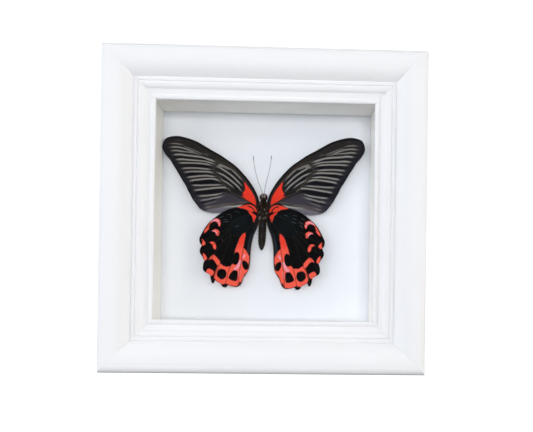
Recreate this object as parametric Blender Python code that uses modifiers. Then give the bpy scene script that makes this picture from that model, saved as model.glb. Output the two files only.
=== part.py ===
"""A framed butterfly specimen: a mitred wooden shadow-box frame, its glazing, and a spread butterfly.

The frame stands on its bottom rail. X runs to the viewer's right, +Y goes from the front to the back,
+Z is up, and the origin is the centre of the bounding box's bottom. Everything is in metres.
"""

import math

import bmesh
import bpy
from mathutils import Matrix, Vector

MM = 0.001

# Driving dimensions
OUTSIDE = 200 * MM  # the frame is square
FRAME_DEPTH = 48 * MM
RAIL_WIDTH = 32.4 * MM  # from the outside to the sight edge
REBATE_WIDTH = 6 * MM
LIP_BACK = 9 * MM  # the rebate starts this far behind the frame's front
GAP = 0.3 * MM  # between pieces that touch

GLASS_THICK = 2 * MM
SPACER_THICK = 2.7 * MM
CARD_THICK = 1.5 * MM
BOARD_THICK = 2.5 * MM
SPACER_DEPTH = 28.9 * MM  # how deep the recess is, from pane to card

POINT_THICK = 0.5 * MM
POINT_WIDTH = 6 * MM
POINT_IN_WOOD = 5 * MM
POINT_REACH = 8 * MM  # over the board
POINT_OFF_CENTRE = 45 * MM
SLOT_PLAY = 0.3 * MM

HANGER_LENGTH = 46 * MM
HANGER_HEIGHT = 9 * MM
HANGER_THICK = 0.8 * MM
HANGER_RISE = 1.6 * MM  # its toothed middle stands this far out from its nailed ends
HANGER_BELOW_TOP = 13 * MM
HANGER_FOOT = 16 * MM  # its ends lie flat from here outwards
HANGER_KNEE = 13.5 * MM  # and its middle stands out from here inwards
HANGER_NOTCHES = 11
NOTCH_PITCH = 2 * MM
NOTCH_WIDTH = 1.68 * MM
NOTCH_HEIGHT = 1.6 * MM
NAIL_OFF_CENTRE = 19.5 * MM
NAIL_RADIUS = 0.6 * MM
NAIL_HEAD_RADIUS = 1.6 * MM
NAIL_HEAD_THICK = 0.6 * MM
NAIL_IN_WOOD = 8 * MM

WING_THICK = 0.4 * MM
FOREWING_OFF_CARD = 3.3 * MM  # from the card to the forewing's back
BODY_OFF_CARD = 6.0 * MM  # from the card to the body's axis
BODY_TILT = math.radians(1.6)  # the abdomen hangs a little to the viewer's left
PAD_SIZE = (5 * MM, 8 * MM)
PAD_UP = 4 * MM  # the pad's centre, above the frame's centre
THORAX_RADIUS = 3.6 * MM
SPECIMEN_X = -2.2 * MM  # the specimen is glued a little left of the middle
ANTENNA_RADIUS = 0.22 * MM
CLUB_RADIUS = 0.42 * MM

# Places worked out from the driving dimensions
HANGER_STAND = GAP + HANGER_RISE + HANGER_THICK
FRONT_Y = -(FRAME_DEPTH + HANGER_STAND) / 2
BACK_Y = FRONT_Y + FRAME_DEPTH
CENTRE_Z = OUTSIDE / 2
HALF = OUTSIDE / 2
REBATE_HALF = HALF - RAIL_WIDTH + REBATE_WIDTH
GLASS_Y = FRONT_Y + LIP_BACK + GAP
SPACER_Y = GLASS_Y + GLASS_THICK + GAP
CARD_Y = SPACER_Y + SPACER_DEPTH + GAP
BOARD_Y = CARD_Y + CARD_THICK + GAP
POINT_Y = BOARD_Y + BOARD_THICK + GAP
FOREWING_Y = CARD_Y - FOREWING_OFF_CARD - WING_THICK / 2
HINDWING_Y = FOREWING_Y - WING_THICK - GAP
BODY_Y = CARD_Y - BODY_OFF_CARD

for old in list(bpy.data.objects):
    bpy.data.objects.remove(old, do_unlink=True)

PARTS = bpy.data.collections.new("framed_butterfly")
CUTTERS = bpy.data.collections.new("cutters")
bpy.context.scene.collection.children.link(PARTS)
bpy.context.scene.collection.children.link(CUTTERS)


def material(name, colour, roughness, metallic=0.0, transmission=0.0):
    mat = bpy.data.materials.new(name)
    mat.use_nodes = True
    shader = mat.node_tree.nodes["Principled BSDF"]
    shader.inputs["Base Color"].default_value = (*colour, 1.0)
    shader.inputs["Roughness"].default_value = roughness
    shader.inputs["Metallic"].default_value = metallic
    shader.inputs["Transmission Weight"].default_value = transmission
    return mat


def add(name, mesh, mat, parent=None, collection=None):
    """Put a mesh in the scene as one named piece."""
    obj = bpy.data.objects.new(name, mesh)
    (collection or PARTS).objects.link(obj)
    obj.parent = parent
    if mat is not None:
        mesh.materials.clear()
        mesh.materials.append(mat)
    return obj


def add_cutter(name, mesh, parent=None):
    obj = add(name, mesh, None, parent, CUTTERS)
    obj.display_type = "WIRE"
    obj.hide_render = True
    return obj


def cut(target, cutter, operation="DIFFERENCE"):
    boolean = target.modifiers.new(cutter.name, "BOOLEAN")
    boolean.object = cutter
    boolean.operation = operation
    boolean.solver = "EXACT"


def box_mesh(name, size, centre=(0, 0, 0)):
    mesh = bpy.data.meshes.new(name)
    shape = bmesh.new()
    place = Matrix.Translation(centre) @ Matrix.Diagonal((*size, 1))
    bmesh.ops.create_cube(shape, size=1, matrix=place)
    shape.to_mesh(mesh)
    shape.free()
    return mesh


def cylinder_mesh(name, radius, start, end, segments=16):
    """A closed cylinder between two points."""
    start, end = Vector(start), Vector(end)
    along = end - start
    turn = Vector((0, 0, 1)).rotation_difference(along).to_matrix().to_4x4()
    mesh = bpy.data.meshes.new(name)
    shape = bmesh.new()
    bmesh.ops.create_cone(
        shape,
        cap_ends=True,
        segments=segments,
        radius1=radius,
        radius2=radius,
        depth=along.length,
        matrix=Matrix.Translation((start + end) / 2) @ turn,
    )
    shape.to_mesh(mesh)
    shape.free()
    return mesh


def curve_to_mesh(curve, name, place=None):
    """The closed mesh of a curve, with its caps welded on."""
    guide = bpy.data.objects.new(name, curve)
    PARTS.objects.link(guide)
    bpy.context.view_layer.update()
    seen = guide.evaluated_get(bpy.context.evaluated_depsgraph_get())
    mesh = bpy.data.meshes.new_from_object(seen)
    mesh.name = name
    shape = bmesh.new()
    shape.from_mesh(mesh)
    bmesh.ops.remove_doubles(shape, verts=shape.verts, dist=1e-6)
    shape.to_mesh(mesh)
    shape.free()
    if place is not None:
        mesh.transform(place)
    bpy.data.objects.remove(guide, do_unlink=True)
    return mesh


def outline_mesh(name, points, thickness, place=None, smooth=False, steps=4):
    """A flat closed outline made a plate of the given thickness, centred on its own plane."""
    curve = bpy.data.curves.new(name, "CURVE")
    curve.dimensions = "2D"
    curve.fill_mode = "BOTH"
    curve.extrude = thickness / 2
    if smooth:
        curve.resolution_u = steps
        spline = curve.splines.new("BEZIER")
        spline.bezier_points.add(len(points) - 1)
        for knot, (x, y) in zip(spline.bezier_points, points):
            knot.co = (x, y, 0)
            knot.handle_left_type = "AUTO"
            knot.handle_right_type = "AUTO"
    else:
        spline = curve.splines.new("POLY")
        spline.points.add(len(points) - 1)
        for knot, (x, y) in zip(spline.points, points):
            knot.co = (x, y, 0, 1)
    spline.use_cyclic_u = True
    return curve_to_mesh(curve, name, place)


def arc(centre, radii, start, end, steps):
    """Points on an ellipse, from one angle in degrees to another."""
    angles = (math.radians(start + (end - start) * i / steps) for i in range(steps + 1))
    return [
        (centre[0] + radii[0] * math.cos(a), centre[1] + radii[1] * math.sin(a)) for a in angles
    ]


def moulding_profile():
    """The rail's section as (distance in from the outside, distance back from the front), in mm.

    From the outside: a rounded edge, a broad crown that rolls down to a quirk, a narrow fillet, an
    ovolo, a second fillet and the bead along the sight edge.
    """
    sight = RAIL_WIDTH / MM
    rebate = sight - REBATE_WIDTH / MM
    lip_back = LIP_BACK / MM
    back = FRAME_DEPTH / MM
    crown_at, quirk_at, quirk_depth, roll = 7.0, 19.0, 4.4, 2.3
    points = [(0.8, back), (0, back - 0.8)]
    points += arc((5.2, 5.6), (5.2, 5.4), 180, 270, 8)
    for i in range(11):
        run = i / 10
        points.append((crown_at + run * (quirk_at - crown_at), quirk_depth * run**roll))
    points += [(19.2, 4.9), (19.7, 4.9), (19.9, 4.1), (21.7, 4.1), (21.9, 4.7), (22.3, 4.7)]
    points += [(22.5, 4.2)]
    points += arc((24.0, 6.6), (2.4, 2.4), 270, 360, 6)
    points += [(26.6, 7.2), (27.0, 7.2), (27.2, 6.7), (28.7, 6.7), (28.9, 7.2), (29.3, 7.2)]
    points += arc((sight - 1.5, 7.4), (1.5, 1.4), 180, 360, 8)
    points += [(sight, lip_back), (rebate, lip_back), (rebate, back)]
    return [(u * MM, v * MM) for u, v in points]


def rail_mesh():
    """A straight length of the moulding along X, for the top, about the frame's centre."""
    # the section's own x, y and length become down from the top, back from the front, and across
    place = Matrix(((0, 0, 1, 0), (0, 1, 0, FRONT_Y), (-1, 0, 0, HALF), (0, 0, 0, 1)))
    return outline_mesh("moulding", moulding_profile(), OUTSIDE + 2 * MM, place)


def mitre_mesh():
    """A trapezium prism that keeps what lies between the two mitres."""
    high = HALF + 5 * MM
    low = HALF - RAIL_WIDTH - 5 * MM
    short = GAP / math.sqrt(2)
    points = [(-high + short, high), (-low + short, low), (low - short, low), (high - short, high)]
    points.reverse()
    upright = Matrix.Rotation(math.pi / 2, 4, "X")
    return outline_mesh("mitre", points, 4 * FRAME_DEPTH, upright)


def point_mesh():
    """A thin steel point: a flat tongue with its tip in the top rail's rebate wall."""
    half = POINT_WIDTH / 2
    wall = REBATE_HALF
    tip = wall + POINT_IN_WOOD
    points = [
        (-half, wall - POINT_REACH),
        (half, wall - POINT_REACH),
        (half, wall + POINT_IN_WOOD / 3),
        (half / 4, tip),
        (-half / 4, tip),
        (-half, wall + POINT_IN_WOOD / 3),
    ]
    stand = Matrix.Translation((0, POINT_Y + POINT_THICK / 2, 0))
    return outline_mesh("point", points, POINT_THICK, stand @ Matrix.Rotation(math.pi / 2, 4, "X"))


def build_frame():
    """The four rails with their framer's points. All four rails are one mitred length, turned."""
    paint = material("white_paint", (0.86, 0.87, 0.88), 0.45)
    steel = material("steel", (0.55, 0.55, 0.56), 0.35, 1.0)
    rail = rail_mesh()
    point = point_mesh()
    mitre = mitre_mesh()
    slot_size = (
        POINT_WIDTH + 2 * SLOT_PLAY,
        POINT_THICK + 2 * SLOT_PLAY,
        2 * (POINT_IN_WOOD + SLOT_PLAY),
    )
    slot = box_mesh("slot", slot_size, (0, POINT_Y + POINT_THICK / 2, REBATE_HALF))
    centre = bpy.data.objects.new("frame_centre", None)
    PARTS.objects.link(centre)
    centre.location = (0, 0, CENTRE_Z)
    sides = (("top", "left", "right"), ("right", "upper", "lower"))
    sides += (("bottom", "right", "left"), ("left", "lower", "upper"))
    rails = {}
    for turns, (side, first, second) in enumerate(sides):
        quarter = bpy.data.objects.new(f"turn_{side}", None)
        PARTS.objects.link(quarter)
        quarter.parent = centre
        quarter.rotation_euler = (0, turns * math.pi / 2, 0)
        piece = add(f"rail_{side}", rail, paint, quarter)
        rails[side] = piece
        cut(piece, add_cutter(f"mitre_{side}", mitre, quarter), "INTERSECT")
        for where, offset in ((first, -POINT_OFF_CENTRE), (second, POINT_OFF_CENTRE)):
            cutter = add_cutter(f"slot_{side}_{where}", slot, quarter)
            cutter.location.x = offset
            cut(piece, cutter)
            add(f"point_{side}_{where}", point, steel, quarter).location.x = offset
    return rails, centre


def build_glazing(centre):
    """The pane, the strips that space it off the card, the card, and the board behind."""
    glass = material("glass", (0.95, 0.97, 0.96), 0.02, transmission=1.0)
    white_board = material("white_board", (0.84, 0.85, 0.86), 0.8)
    card = material("card", (0.85, 0.86, 0.88), 0.85)
    hardboard = material("hardboard", (0.30, 0.19, 0.11), 0.75)
    pane = 2 * (REBATE_HALF - 2 * GAP)
    sheets = (
        ("glass", GLASS_Y, GLASS_THICK, glass),
        ("backing_card", CARD_Y, CARD_THICK, card),
        ("back_board", BOARD_Y, BOARD_THICK, hardboard),
    )
    for name, front, thick, mat in sheets:
        add(name, box_mesh(name, (pane, thick, pane), (0, front + thick / 2, 0)), mat, centre)
    outer = REBATE_HALF - GAP
    middle_y = SPACER_Y + SPACER_DEPTH / 2
    middle = outer - SPACER_THICK / 2
    long_size = (2 * outer, SPACER_DEPTH, SPACER_THICK)
    short_size = (SPACER_THICK, SPACER_DEPTH, 2 * (outer - SPACER_THICK - GAP))
    strips = (
        ("spacer_top", long_size, (0, middle_y, middle)),
        ("spacer_bottom", long_size, (0, middle_y, -middle)),
        ("spacer_left", short_size, (-middle, middle_y, 0)),
        ("spacer_right", short_size, (middle, middle_y, 0)),
    )
    for name, size, place in strips:
        add(name, box_mesh(name, size, place), white_board, centre)


def build_hanger(rail):
    """A sawtooth hanger bent from a steel strip, and the two nails that hold it to the top rail."""
    zinc = material("zinc_plate", (0.62, 0.63, 0.62), 0.4, 1.0)
    height = OUTSIDE - HANGER_BELOW_TOP
    half = [(HANGER_KNEE, HANGER_RISE), (HANGER_FOOT, 0), (HANGER_LENGTH / 2, 0)]
    inner = [(-x, y) for x, y in reversed(half)] + half
    outer = [(x, y + HANGER_THICK) for x, y in reversed(inner)]
    place = Matrix.Translation((0, BACK_Y + GAP, height))
    strip = add("hanger", outline_mesh("hanger", inner + outer, HANGER_HEIGHT, place), zinc)
    upright = Matrix.Translation((0, BACK_Y, height)) @ Matrix.Rotation(math.pi / 2, 4, "X")
    edge, reach = -HANGER_HEIGHT / 2, NOTCH_WIDTH / 2
    for index in range(HANGER_NOTCHES):
        across = (index - (HANGER_NOTCHES - 1) / 2) * NOTCH_PITCH
        notch = [(across - reach, edge - reach), (across + reach, edge - reach)]
        notch += [(across + reach, edge), (across, edge + NOTCH_HEIGHT), (across - reach, edge)]
        cutter = outline_mesh("notch", notch, 4 * HANGER_STAND, upright)
        cut(strip, add_cutter(f"notch_{index}", cutter))
    head_y = BACK_Y + 2 * GAP + HANGER_THICK
    for side, across in (("left", -NAIL_OFF_CENTRE), ("right", NAIL_OFF_CENTRE)):
        tip_y = BACK_Y - NAIL_IN_WOOD
        hole_ends = [(across, y, height) for y in (tip_y - GAP, BACK_Y + 2 * HANGER_STAND)]
        hole = add_cutter(f"nail_hole_{side}", cylinder_mesh("hole", NAIL_RADIUS + GAP, *hole_ends))
        cut(rail, hole)
        cut(strip, hole)
        # the shank runs half way into the head, and a union makes them one nail
        shank_ends = [(across, y, height) for y in (tip_y, head_y + NAIL_HEAD_THICK / 2)]
        head_ends = [(across, y, height) for y in (head_y, head_y + NAIL_HEAD_THICK)]
        nail = add(f"hanger_nail_{side}", cylinder_mesh("shank", NAIL_RADIUS, *shank_ends), zinc)
        head = add_cutter(f"nail_head_{side}", cylinder_mesh("head", NAIL_HEAD_RADIUS, *head_ends))
        cut(nail, head, "UNION")


def specimen_place(y):
    """From a flat outline (out from the body's axis, up from the frame's centre) to its place."""
    return Matrix.Translation((SPECIMEN_X, y, CENTRE_Z)) @ Matrix.Rotation(math.pi / 2, 4, "X")


# Outlines of the right-hand wings, in mm: out from the body's axis, up from the frame's centre
FOREWING = [
    (4.0, 5.2), (4.0, 10.4), (5.6, 17.0), (13.2, 28.7), (23.3, 37.6), (35.2, 45.0), (45.2, 50.4),
    (55.6, 53.1), (63.5, 52.4), (67.8, 48.4), (66.8, 42.2), (60.4, 33.3), (52.0, 18.8),
    (45.3, 7.9), (41.0, 3.4), (32.4, 1.9), (18.0, 3.4),
]  # fmt: skip
HINDWING = [
    (3.9, -1.2), (4.4, 4.6), (9.4, 7.6), (17.4, 5.4), (28.4, 1.2), (36.6, -6.6), (41.2, -14.6),
    (41.6, -24.0), (39.4, -33.2), (35.6, -40.6), (30.4, -45.6), (23.6, -48.0), (17.2, -48.0),
    (12.8, -43.4), (9.3, -36.4), (7.8, -27.4), (7.1, -18.6), (5.2, -10.4),
]  # fmt: skip


def build_wings():
    """Each wing is a plate. The hindwings lie over the forewings, as the underside shows them."""
    dark = material("forewing_scales", (0.05, 0.05, 0.055), 0.6)
    black = material("hindwing_scales", (0.02, 0.015, 0.015), 0.6)
    wings = (("forewing", FOREWING, FOREWING_Y, dark), ("hindwing", HINDWING, HINDWING_Y, black))
    for kind, outline, y, mat in wings:
        for side, sign in (("left", -1.0), ("right", 1.0)):
            points = [(sign * x * MM, z * MM) for x, z in outline]
            mesh = outline_mesh(kind, points, WING_THICK, specimen_place(y), smooth=True)
            add(f"{kind}_{side}", mesh, mat)


# The body's turned profile in mm, from the head down: height above the frame's centre, and radius
BODY_PROFILE = [
    (16.2, 0.0), (15.8, 1.3), (14.8, 2.3), (13.3, 2.7), (11.8, 2.4), (10.9, 2.0), (9.6, 2.6),
    (7.4, 3.3), (4.6, THORAX_RADIUS / MM), (1.6, 3.4), (-0.9, 2.8), (-2.6, 2.3), (-5.0, 2.5), (-9.0, 2.75),
    (-13.5, 2.7), (-17.5, 2.4), (-20.4, 1.7), (-22.2, 0.9), (-22.9, 0.0),
]  # fmt: skip


def build_body():
    """Head, thorax and abdomen in one piece, turned about the body's axis."""
    chitin = material("body_scales", (0.06, 0.045, 0.035), 0.7)
    mesh = bpy.data.meshes.new("body")
    points = [(radius * MM, 0, height * MM) for height, radius in BODY_PROFILE]
    mesh.from_pydata(points, [(i, i + 1) for i in range(len(points) - 1)], [])
    body = add("body", mesh, chitin)
    body.location = (SPECIMEN_X, BODY_Y, CENTRE_Z)
    body.rotation_euler = (0, BODY_TILT, 0)
    screw = body.modifiers.new("turn", "SCREW")
    screw.steps = 20
    screw.render_steps = 20
    screw.use_merge_vertices = True
    screw.merge_threshold = 0.00001
    pad_back = CARD_Y - GAP
    pad_front = BODY_Y + THORAX_RADIUS + GAP
    size = (PAD_SIZE[0], pad_back - pad_front, PAD_SIZE[1])
    foam = material("foam", (0.85, 0.85, 0.85), 0.9)
    where = (SPECIMEN_X, (pad_back + pad_front) / 2, CENTRE_Z + PAD_UP)
    add("specimen_pad", box_mesh("specimen_pad", size, where), foam)


# Each feeler's route in mm: out from the body's axis, up from the frame's centre
FEELERS = {
    "left": [(-0.7, 16.5), (-1.8, 19.0), (-3.2, 22.4), (-4.9, 27.9), (-6.3, 34.2), (-6.9, 39.6)],
    "right": [(0.5, 16.6), (1.2, 19.6), (2.0, 23.2), (3.4, 28.9), (4.6, 34.8), (5.1, 40.2)],
}


def build_antennae():
    """Two fine feelers, each ending in a slender club."""
    horn = material("antenna_chitin", (0.05, 0.04, 0.035), 0.5)
    for side, route in FEELERS.items():
        curve = bpy.data.curves.new(f"antenna_{side}", "CURVE")
        curve.dimensions = "3D"
        curve.bevel_depth = ANTENNA_RADIUS
        curve.bevel_resolution = 1
        curve.use_fill_caps = True
        curve.resolution_u = 2
        spline = curve.splines.new("BEZIER")
        spline.bezier_points.add(len(route) - 1)
        for index, (knot, (x, z)) in enumerate(zip(spline.bezier_points, route)):
            knot.co = (SPECIMEN_X + x * MM, BODY_Y, CENTRE_Z + z * MM)
            knot.handle_left_type = "AUTO"
            knot.handle_right_type = "AUTO"
            knot.radius = CLUB_RADIUS / ANTENNA_RADIUS if index == len(route) - 1 else 1.0
        add(f"antenna_{side}", curve_to_mesh(curve, f"antenna_{side}"), horn)


def shade(obj):
    obj.data.shade_smooth()
    obj.data.set_sharp_from_angle(angle=math.radians(35))


def main():
    rails, centre = build_frame()
    build_glazing(centre)
    build_hanger(rails["top"])
    build_wings()
    build_body()
    build_antennae()
    for name in ("body", "antenna_left", "antenna_right"):
        shade(bpy.data.objects[name])


main()
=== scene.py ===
"""A framed butterfly specimen: a white painted shadow-box frame with a spread swallowtail behind glass.

The butterfly is set with its underside to the front, so its hindwings lie over its forewings.
"""

import math

import bmesh
import bpy
import numpy as np
from mathutils import Matrix, Vector


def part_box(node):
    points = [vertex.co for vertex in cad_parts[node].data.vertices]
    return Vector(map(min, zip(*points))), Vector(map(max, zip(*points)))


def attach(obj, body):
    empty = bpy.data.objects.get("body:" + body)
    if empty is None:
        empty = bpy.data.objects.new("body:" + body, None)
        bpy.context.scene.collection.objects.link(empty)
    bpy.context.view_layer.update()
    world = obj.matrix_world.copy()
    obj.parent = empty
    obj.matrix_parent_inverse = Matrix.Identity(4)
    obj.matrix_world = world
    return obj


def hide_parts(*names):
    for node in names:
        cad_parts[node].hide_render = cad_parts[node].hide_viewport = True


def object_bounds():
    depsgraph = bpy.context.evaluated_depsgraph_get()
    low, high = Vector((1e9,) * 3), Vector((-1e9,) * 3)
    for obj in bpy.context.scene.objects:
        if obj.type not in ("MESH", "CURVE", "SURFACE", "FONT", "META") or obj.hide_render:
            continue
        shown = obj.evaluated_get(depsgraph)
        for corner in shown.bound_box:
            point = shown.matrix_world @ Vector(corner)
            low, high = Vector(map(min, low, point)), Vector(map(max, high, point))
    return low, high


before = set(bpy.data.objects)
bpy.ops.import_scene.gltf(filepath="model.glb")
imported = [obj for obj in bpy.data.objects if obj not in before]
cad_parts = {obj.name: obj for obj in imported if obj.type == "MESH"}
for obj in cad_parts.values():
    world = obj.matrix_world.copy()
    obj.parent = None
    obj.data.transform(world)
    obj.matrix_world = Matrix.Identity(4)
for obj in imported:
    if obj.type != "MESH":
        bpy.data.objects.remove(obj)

cad_low, cad_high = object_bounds()
MM = 0.001

# ---------------------------------------------------------------------------------------------
# Camera, light and floor
# The camera stands a forearm's length in front, a little low and to the right, so that the left
# and top walls of the recess show. A broad soft light comes from the front, cool ones from the left
# and from above, and a warm one from the right.
# ---------------------------------------------------------------------------------------------

centre_z = (cad_low.z + cad_high.z) / 2
front_y = cad_low.y

camera = bpy.data.objects.new("camera", bpy.data.cameras.new("camera"))
camera.data.lens = 34.73
camera.data.shift_x = -0.06
camera.data.shift_y = 0.11
camera.data.clip_start = 0.01
place = Matrix.Translation((12.2 * MM, front_y - 310 * MM, centre_z - 40.1 * MM))
turn_right = Matrix.Rotation(math.radians(-1.66), 4, "Z")
look_level = Matrix.Rotation(math.radians(90.21), 4, "X")
roll = Matrix.Rotation(math.radians(0.804), 4, "Z")
camera.matrix_world = place @ turn_right @ look_level @ roll
bpy.context.scene.collection.objects.link(camera)
bpy.context.scene.camera = camera
bpy.context.scene.view_settings.view_transform = "Standard"


def linear(code):
    """The linear red, green, blue and alpha of an sRGB hex code."""
    parts = [int(code[i : i + 2], 16) / 255 for i in (1, 3, 5)]
    return [c / 12.92 if c <= 0.04045 else ((c + 0.055) / 1.055) ** 2.4 for c in parts] + [1.0]


def connect(tree, node, inputs):
    """Give each named socket its value or its link. A node given stands for its first live output."""
    for socket, value in inputs.items():
        if isinstance(value, bpy.types.Node):
            value = next(output for output in value.outputs if output.enabled)
        if isinstance(value, bpy.types.NodeSocket):
            tree.links.new(value, node.inputs[socket])
        else:
            node.inputs[socket].default_value = value


def add_node(tree, kind, inputs=None, **settings):
    """One shader node with its settings, and with a value or a link for each socket in inputs."""
    made = tree.nodes.new(f"ShaderNode{kind}")
    for key, value in settings.items():
        setattr(made, key, value)
    connect(tree, made, inputs or {})
    return made


def add_lamp(name, location, size, power, colour, mirrored):
    """A soft box aimed at the middle of the frame; mirrored says whether gloss and glass may show it."""
    lamp = bpy.data.objects.new(name, bpy.data.lights.new(name, "AREA"))
    lamp.data.shape = "RECTANGLE"
    lamp.data.size, lamp.data.size_y = size
    lamp.data.energy = power
    lamp.data.color = linear(colour)[:3]
    lamp.location = location
    aim = Vector((0, front_y, centre_z)) - Vector(location)
    lamp.rotation_euler = aim.to_track_quat("-Z", "Y").to_euler()
    lamp.visible_glossy = mirrored
    bpy.context.scene.collection.objects.link(lamp)


add_lamp("broad_front", (0.05, -1.6, 0.16), (0.6, 0.3), 8.7, "#FDFDFF", False)
add_lamp("left_front", (-0.95, -0.9, 0.3), (0.5, 0.5), 1.9, "#F4F8FF", False)
add_lamp("left_window", (-1.2, -0.5, 0.3), (0.5, 0.5), 5.0, "#F4F8FF", False)
add_lamp("high_window", (0.0, -1.4, 0.75), (0.5, 0.4), 1.0, "#F1F6FF", True)
add_lamp("warm_side", (1.25, -0.4, 0.25), (0.5, 0.5), 6.2, "#FFF7E9", False)

# The room's own light is an even white. Mirror reflections see a dark room in front of the frame, so that
# the glass stays clear, and a bright one behind it.
world = bpy.data.worlds.new("studio")
bpy.context.scene.world = world
world.use_nodes = True
sky = world.node_tree
sky.nodes.clear()
seen = add_node(sky, "LightPath")
white = add_node(sky, "Background", {"Color": (1, 1, 1, 1), "Strength": 1.1})
soft = add_node(sky, "Background", {"Color": linear("#F7F9FC"), "Strength": 0.52})
direction = add_node(sky, "TexCoord").outputs["Generated"]
axes = add_node(sky, "SeparateXYZ", {0: direction})
rise = {"Value": axes.outputs["Y"], "From Max": 0.5, "To Min": 0.03, "To Max": 0.9}
behind = add_node(sky, "MapRange", rise)
dim = add_node(sky, "Background", {"Color": linear("#F7F9FC"), "Strength": behind})
matt = add_node(sky, "MixShader", {0: seen.outputs["Is Glossy Ray"], 1: soft, 2: dim})
either = add_node(sky, "MixShader", {0: seen.outputs["Is Camera Ray"], 1: matt, 2: white})
add_node(sky, "OutputWorld", {"Surface": either})

floor_mesh = bpy.data.meshes.new("floor")
reach = 30.0
corners = [(-reach, -reach, 0), (reach, -reach, 0), (reach, reach, 0), (-reach, reach, 0)]
floor_mesh.from_pydata(corners, [], [(0, 1, 2, 3)])
floor = bpy.data.objects.new("floor", floor_mesh)
bpy.context.scene.collection.objects.link(floor)


def new_material(name):
    """An empty Principled material, its tree and its shader."""
    made = bpy.data.materials.new(name)
    made.use_nodes = True
    return made, made.node_tree, made.node_tree.nodes["Principled BSDF"]


# Matt background paper. To the camera alone it also glows, so that it shows as an even white.
paper, tree, shader = new_material("white_background_paper")
seen = add_node(tree, "LightPath")
lit = add_node(tree, "Math", {0: seen.outputs["Is Camera Ray"], 1: 0.92}, operation="MULTIPLY")
connect(tree, shader, {"Base Color": linear("#B8B9BA"), "Roughness": 0.9, "Specular IOR Level": 0.0})
connect(tree, shader, {"Emission Color": (1, 1, 1, 1), "Emission Strength": lit})
floor_mesh.materials.append(paper)

# ---------------------------------------------------------------------------------------------
# Rails
# Four lengths of machined softwood moulding, rebated, mitred and glued at 45 degrees, then sprayed
# with white satin paint that softens every arris and leaves a hairline at each mitre.
# ---------------------------------------------------------------------------------------------

HALF = (cad_high.z - cad_low.z) / 2
RAIL_WIDTH = (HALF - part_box("rail_top")[0].z + centre_z) / MM
RAIL_DEPTH = (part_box("rail_top")[1].y - front_y) / MM
REBATE_WIDTH = 6.0
LIP_BACK = 9.0
PAINT_STEP = 0.16  # mm between the points of the moulding's section
PAINT_BLUR = 0.16  # mm of the bell curve that the paint's thickness rounds it by


def arc(centre, radii, start, end, steps):
    """Points at even angles along an ellipse about a centre."""
    angle = np.radians(np.linspace(start, end, steps))
    return np.stack([centre[0] + radii[0] * np.cos(angle), centre[1] + radii[1] * np.sin(angle)], 1)


def even(path, step):
    """The same polyline with a point at every step of its length."""
    path = np.asarray(path, float)
    run = np.concatenate([[0], np.cumsum(np.linalg.norm(np.diff(path, axis=0), axis=1))])
    at = np.linspace(0, run[-1], int(run[-1] / step) + 1)
    return np.stack([np.interp(at, run, axis) for axis in path.T], 1)


def moulding():
    """The section, in mm in from the outside and back from the front.

    A rounded edge, a crown that falls as the 2.8th power of the way in to a crease, a fillet, a
    quarter-round, a slope and a bead, evened out and then blurred by a bell curve, which is
    what the paint does to it.
    """
    run = np.linspace(0, 1, 30)
    crown = np.stack([7.0 + 12.0 * run, 5.0 * run**2.8], 1)
    front = np.concatenate([
        [(0, RAIL_DEPTH - 0.8), (0, 16.0)],
        arc((5.2, 5.6), (5.2, 5.4), 180, 270, 20),
        crown,
        [(19.2, 5.5), (19.6, 5.5), (19.9, 4.8), (21.6, 4.8), (21.9, 5.5), (22.2, 5.5), (22.5, 4.9)],
        arc((22.7, 7.2), (3.3, 2.3), 270, 340, 14),
        [(26.0, 6.8), (28.8, 7.7), (29.3, 7.8)],
        arc((RAIL_WIDTH - 1.5, 7.9), (1.5, 1.1), 195, 360, 16),
        [(RAIL_WIDTH, LIP_BACK - 0.2)],
    ])  # fmt: skip
    front = even(front, PAINT_STEP)
    blur = np.exp(-0.5 * (np.arange(-4, 5) * PAINT_STEP / PAINT_BLUR) ** 2)
    blur /= blur.sum()
    padded = np.pad(front, ((4, 4), (0, 0)), "edge")
    front = np.stack([np.convolve(axis, blur, "valid") for axis in padded.T], 1)
    rebate = RAIL_WIDTH - REBATE_WIDTH
    back = [(RAIL_WIDTH - 0.2, LIP_BACK), (rebate, LIP_BACK), (rebate, RAIL_DEPTH), (0.8, RAIL_DEPTH)]
    return np.concatenate([front, back])


def grid_faces(rows, columns, closed):
    """Quads between the points of a grid stored row by row, joined round the columns if closed."""
    across = columns if closed else columns - 1
    first = np.arange(rows - 1)[:, None] * columns + np.arange(across)[None]
    second = np.arange(rows - 1)[:, None] * columns + (np.arange(across)[None] + 1) % columns
    return np.stack([first, second, second + columns, first + columns], -1).reshape(-1, 4)


def build_mesh(points, faces, **attributes):
    """A mesh from arrays, with smooth faces and a number at each vertex for each named attribute."""
    mesh = bpy.data.meshes.new("mesh")
    mesh.from_pydata(np.asarray(points).reshape(-1, 3).tolist(), [], [list(face) for face in faces])
    for key, values in attributes.items():
        layer = mesh.attributes.new(key, "FLOAT", "POINT")
        layer.data.foreach_set("value", np.asarray(values, np.float32).ravel())
    shape = bmesh.new()
    shape.from_mesh(mesh)
    bmesh.ops.remove_doubles(shape, verts=shape.verts, dist=0.0005 * MM)
    bmesh.ops.recalc_face_normals(shape, faces=shape.faces)
    shape.to_mesh(mesh)
    shape.free()
    mesh.shade_smooth()
    return mesh


def add_piece(name, mesh, material, slot, *nodes):
    """Put a finished mesh in the scene as a piece of the one rigid body."""
    mesh.name = name
    piece = bpy.data.objects.new(name, mesh)
    bpy.context.scene.collection.objects.link(piece)
    mesh.materials.append(material)
    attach(piece, "root")
    if nodes:
        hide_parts(*nodes)
    return piece


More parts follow.
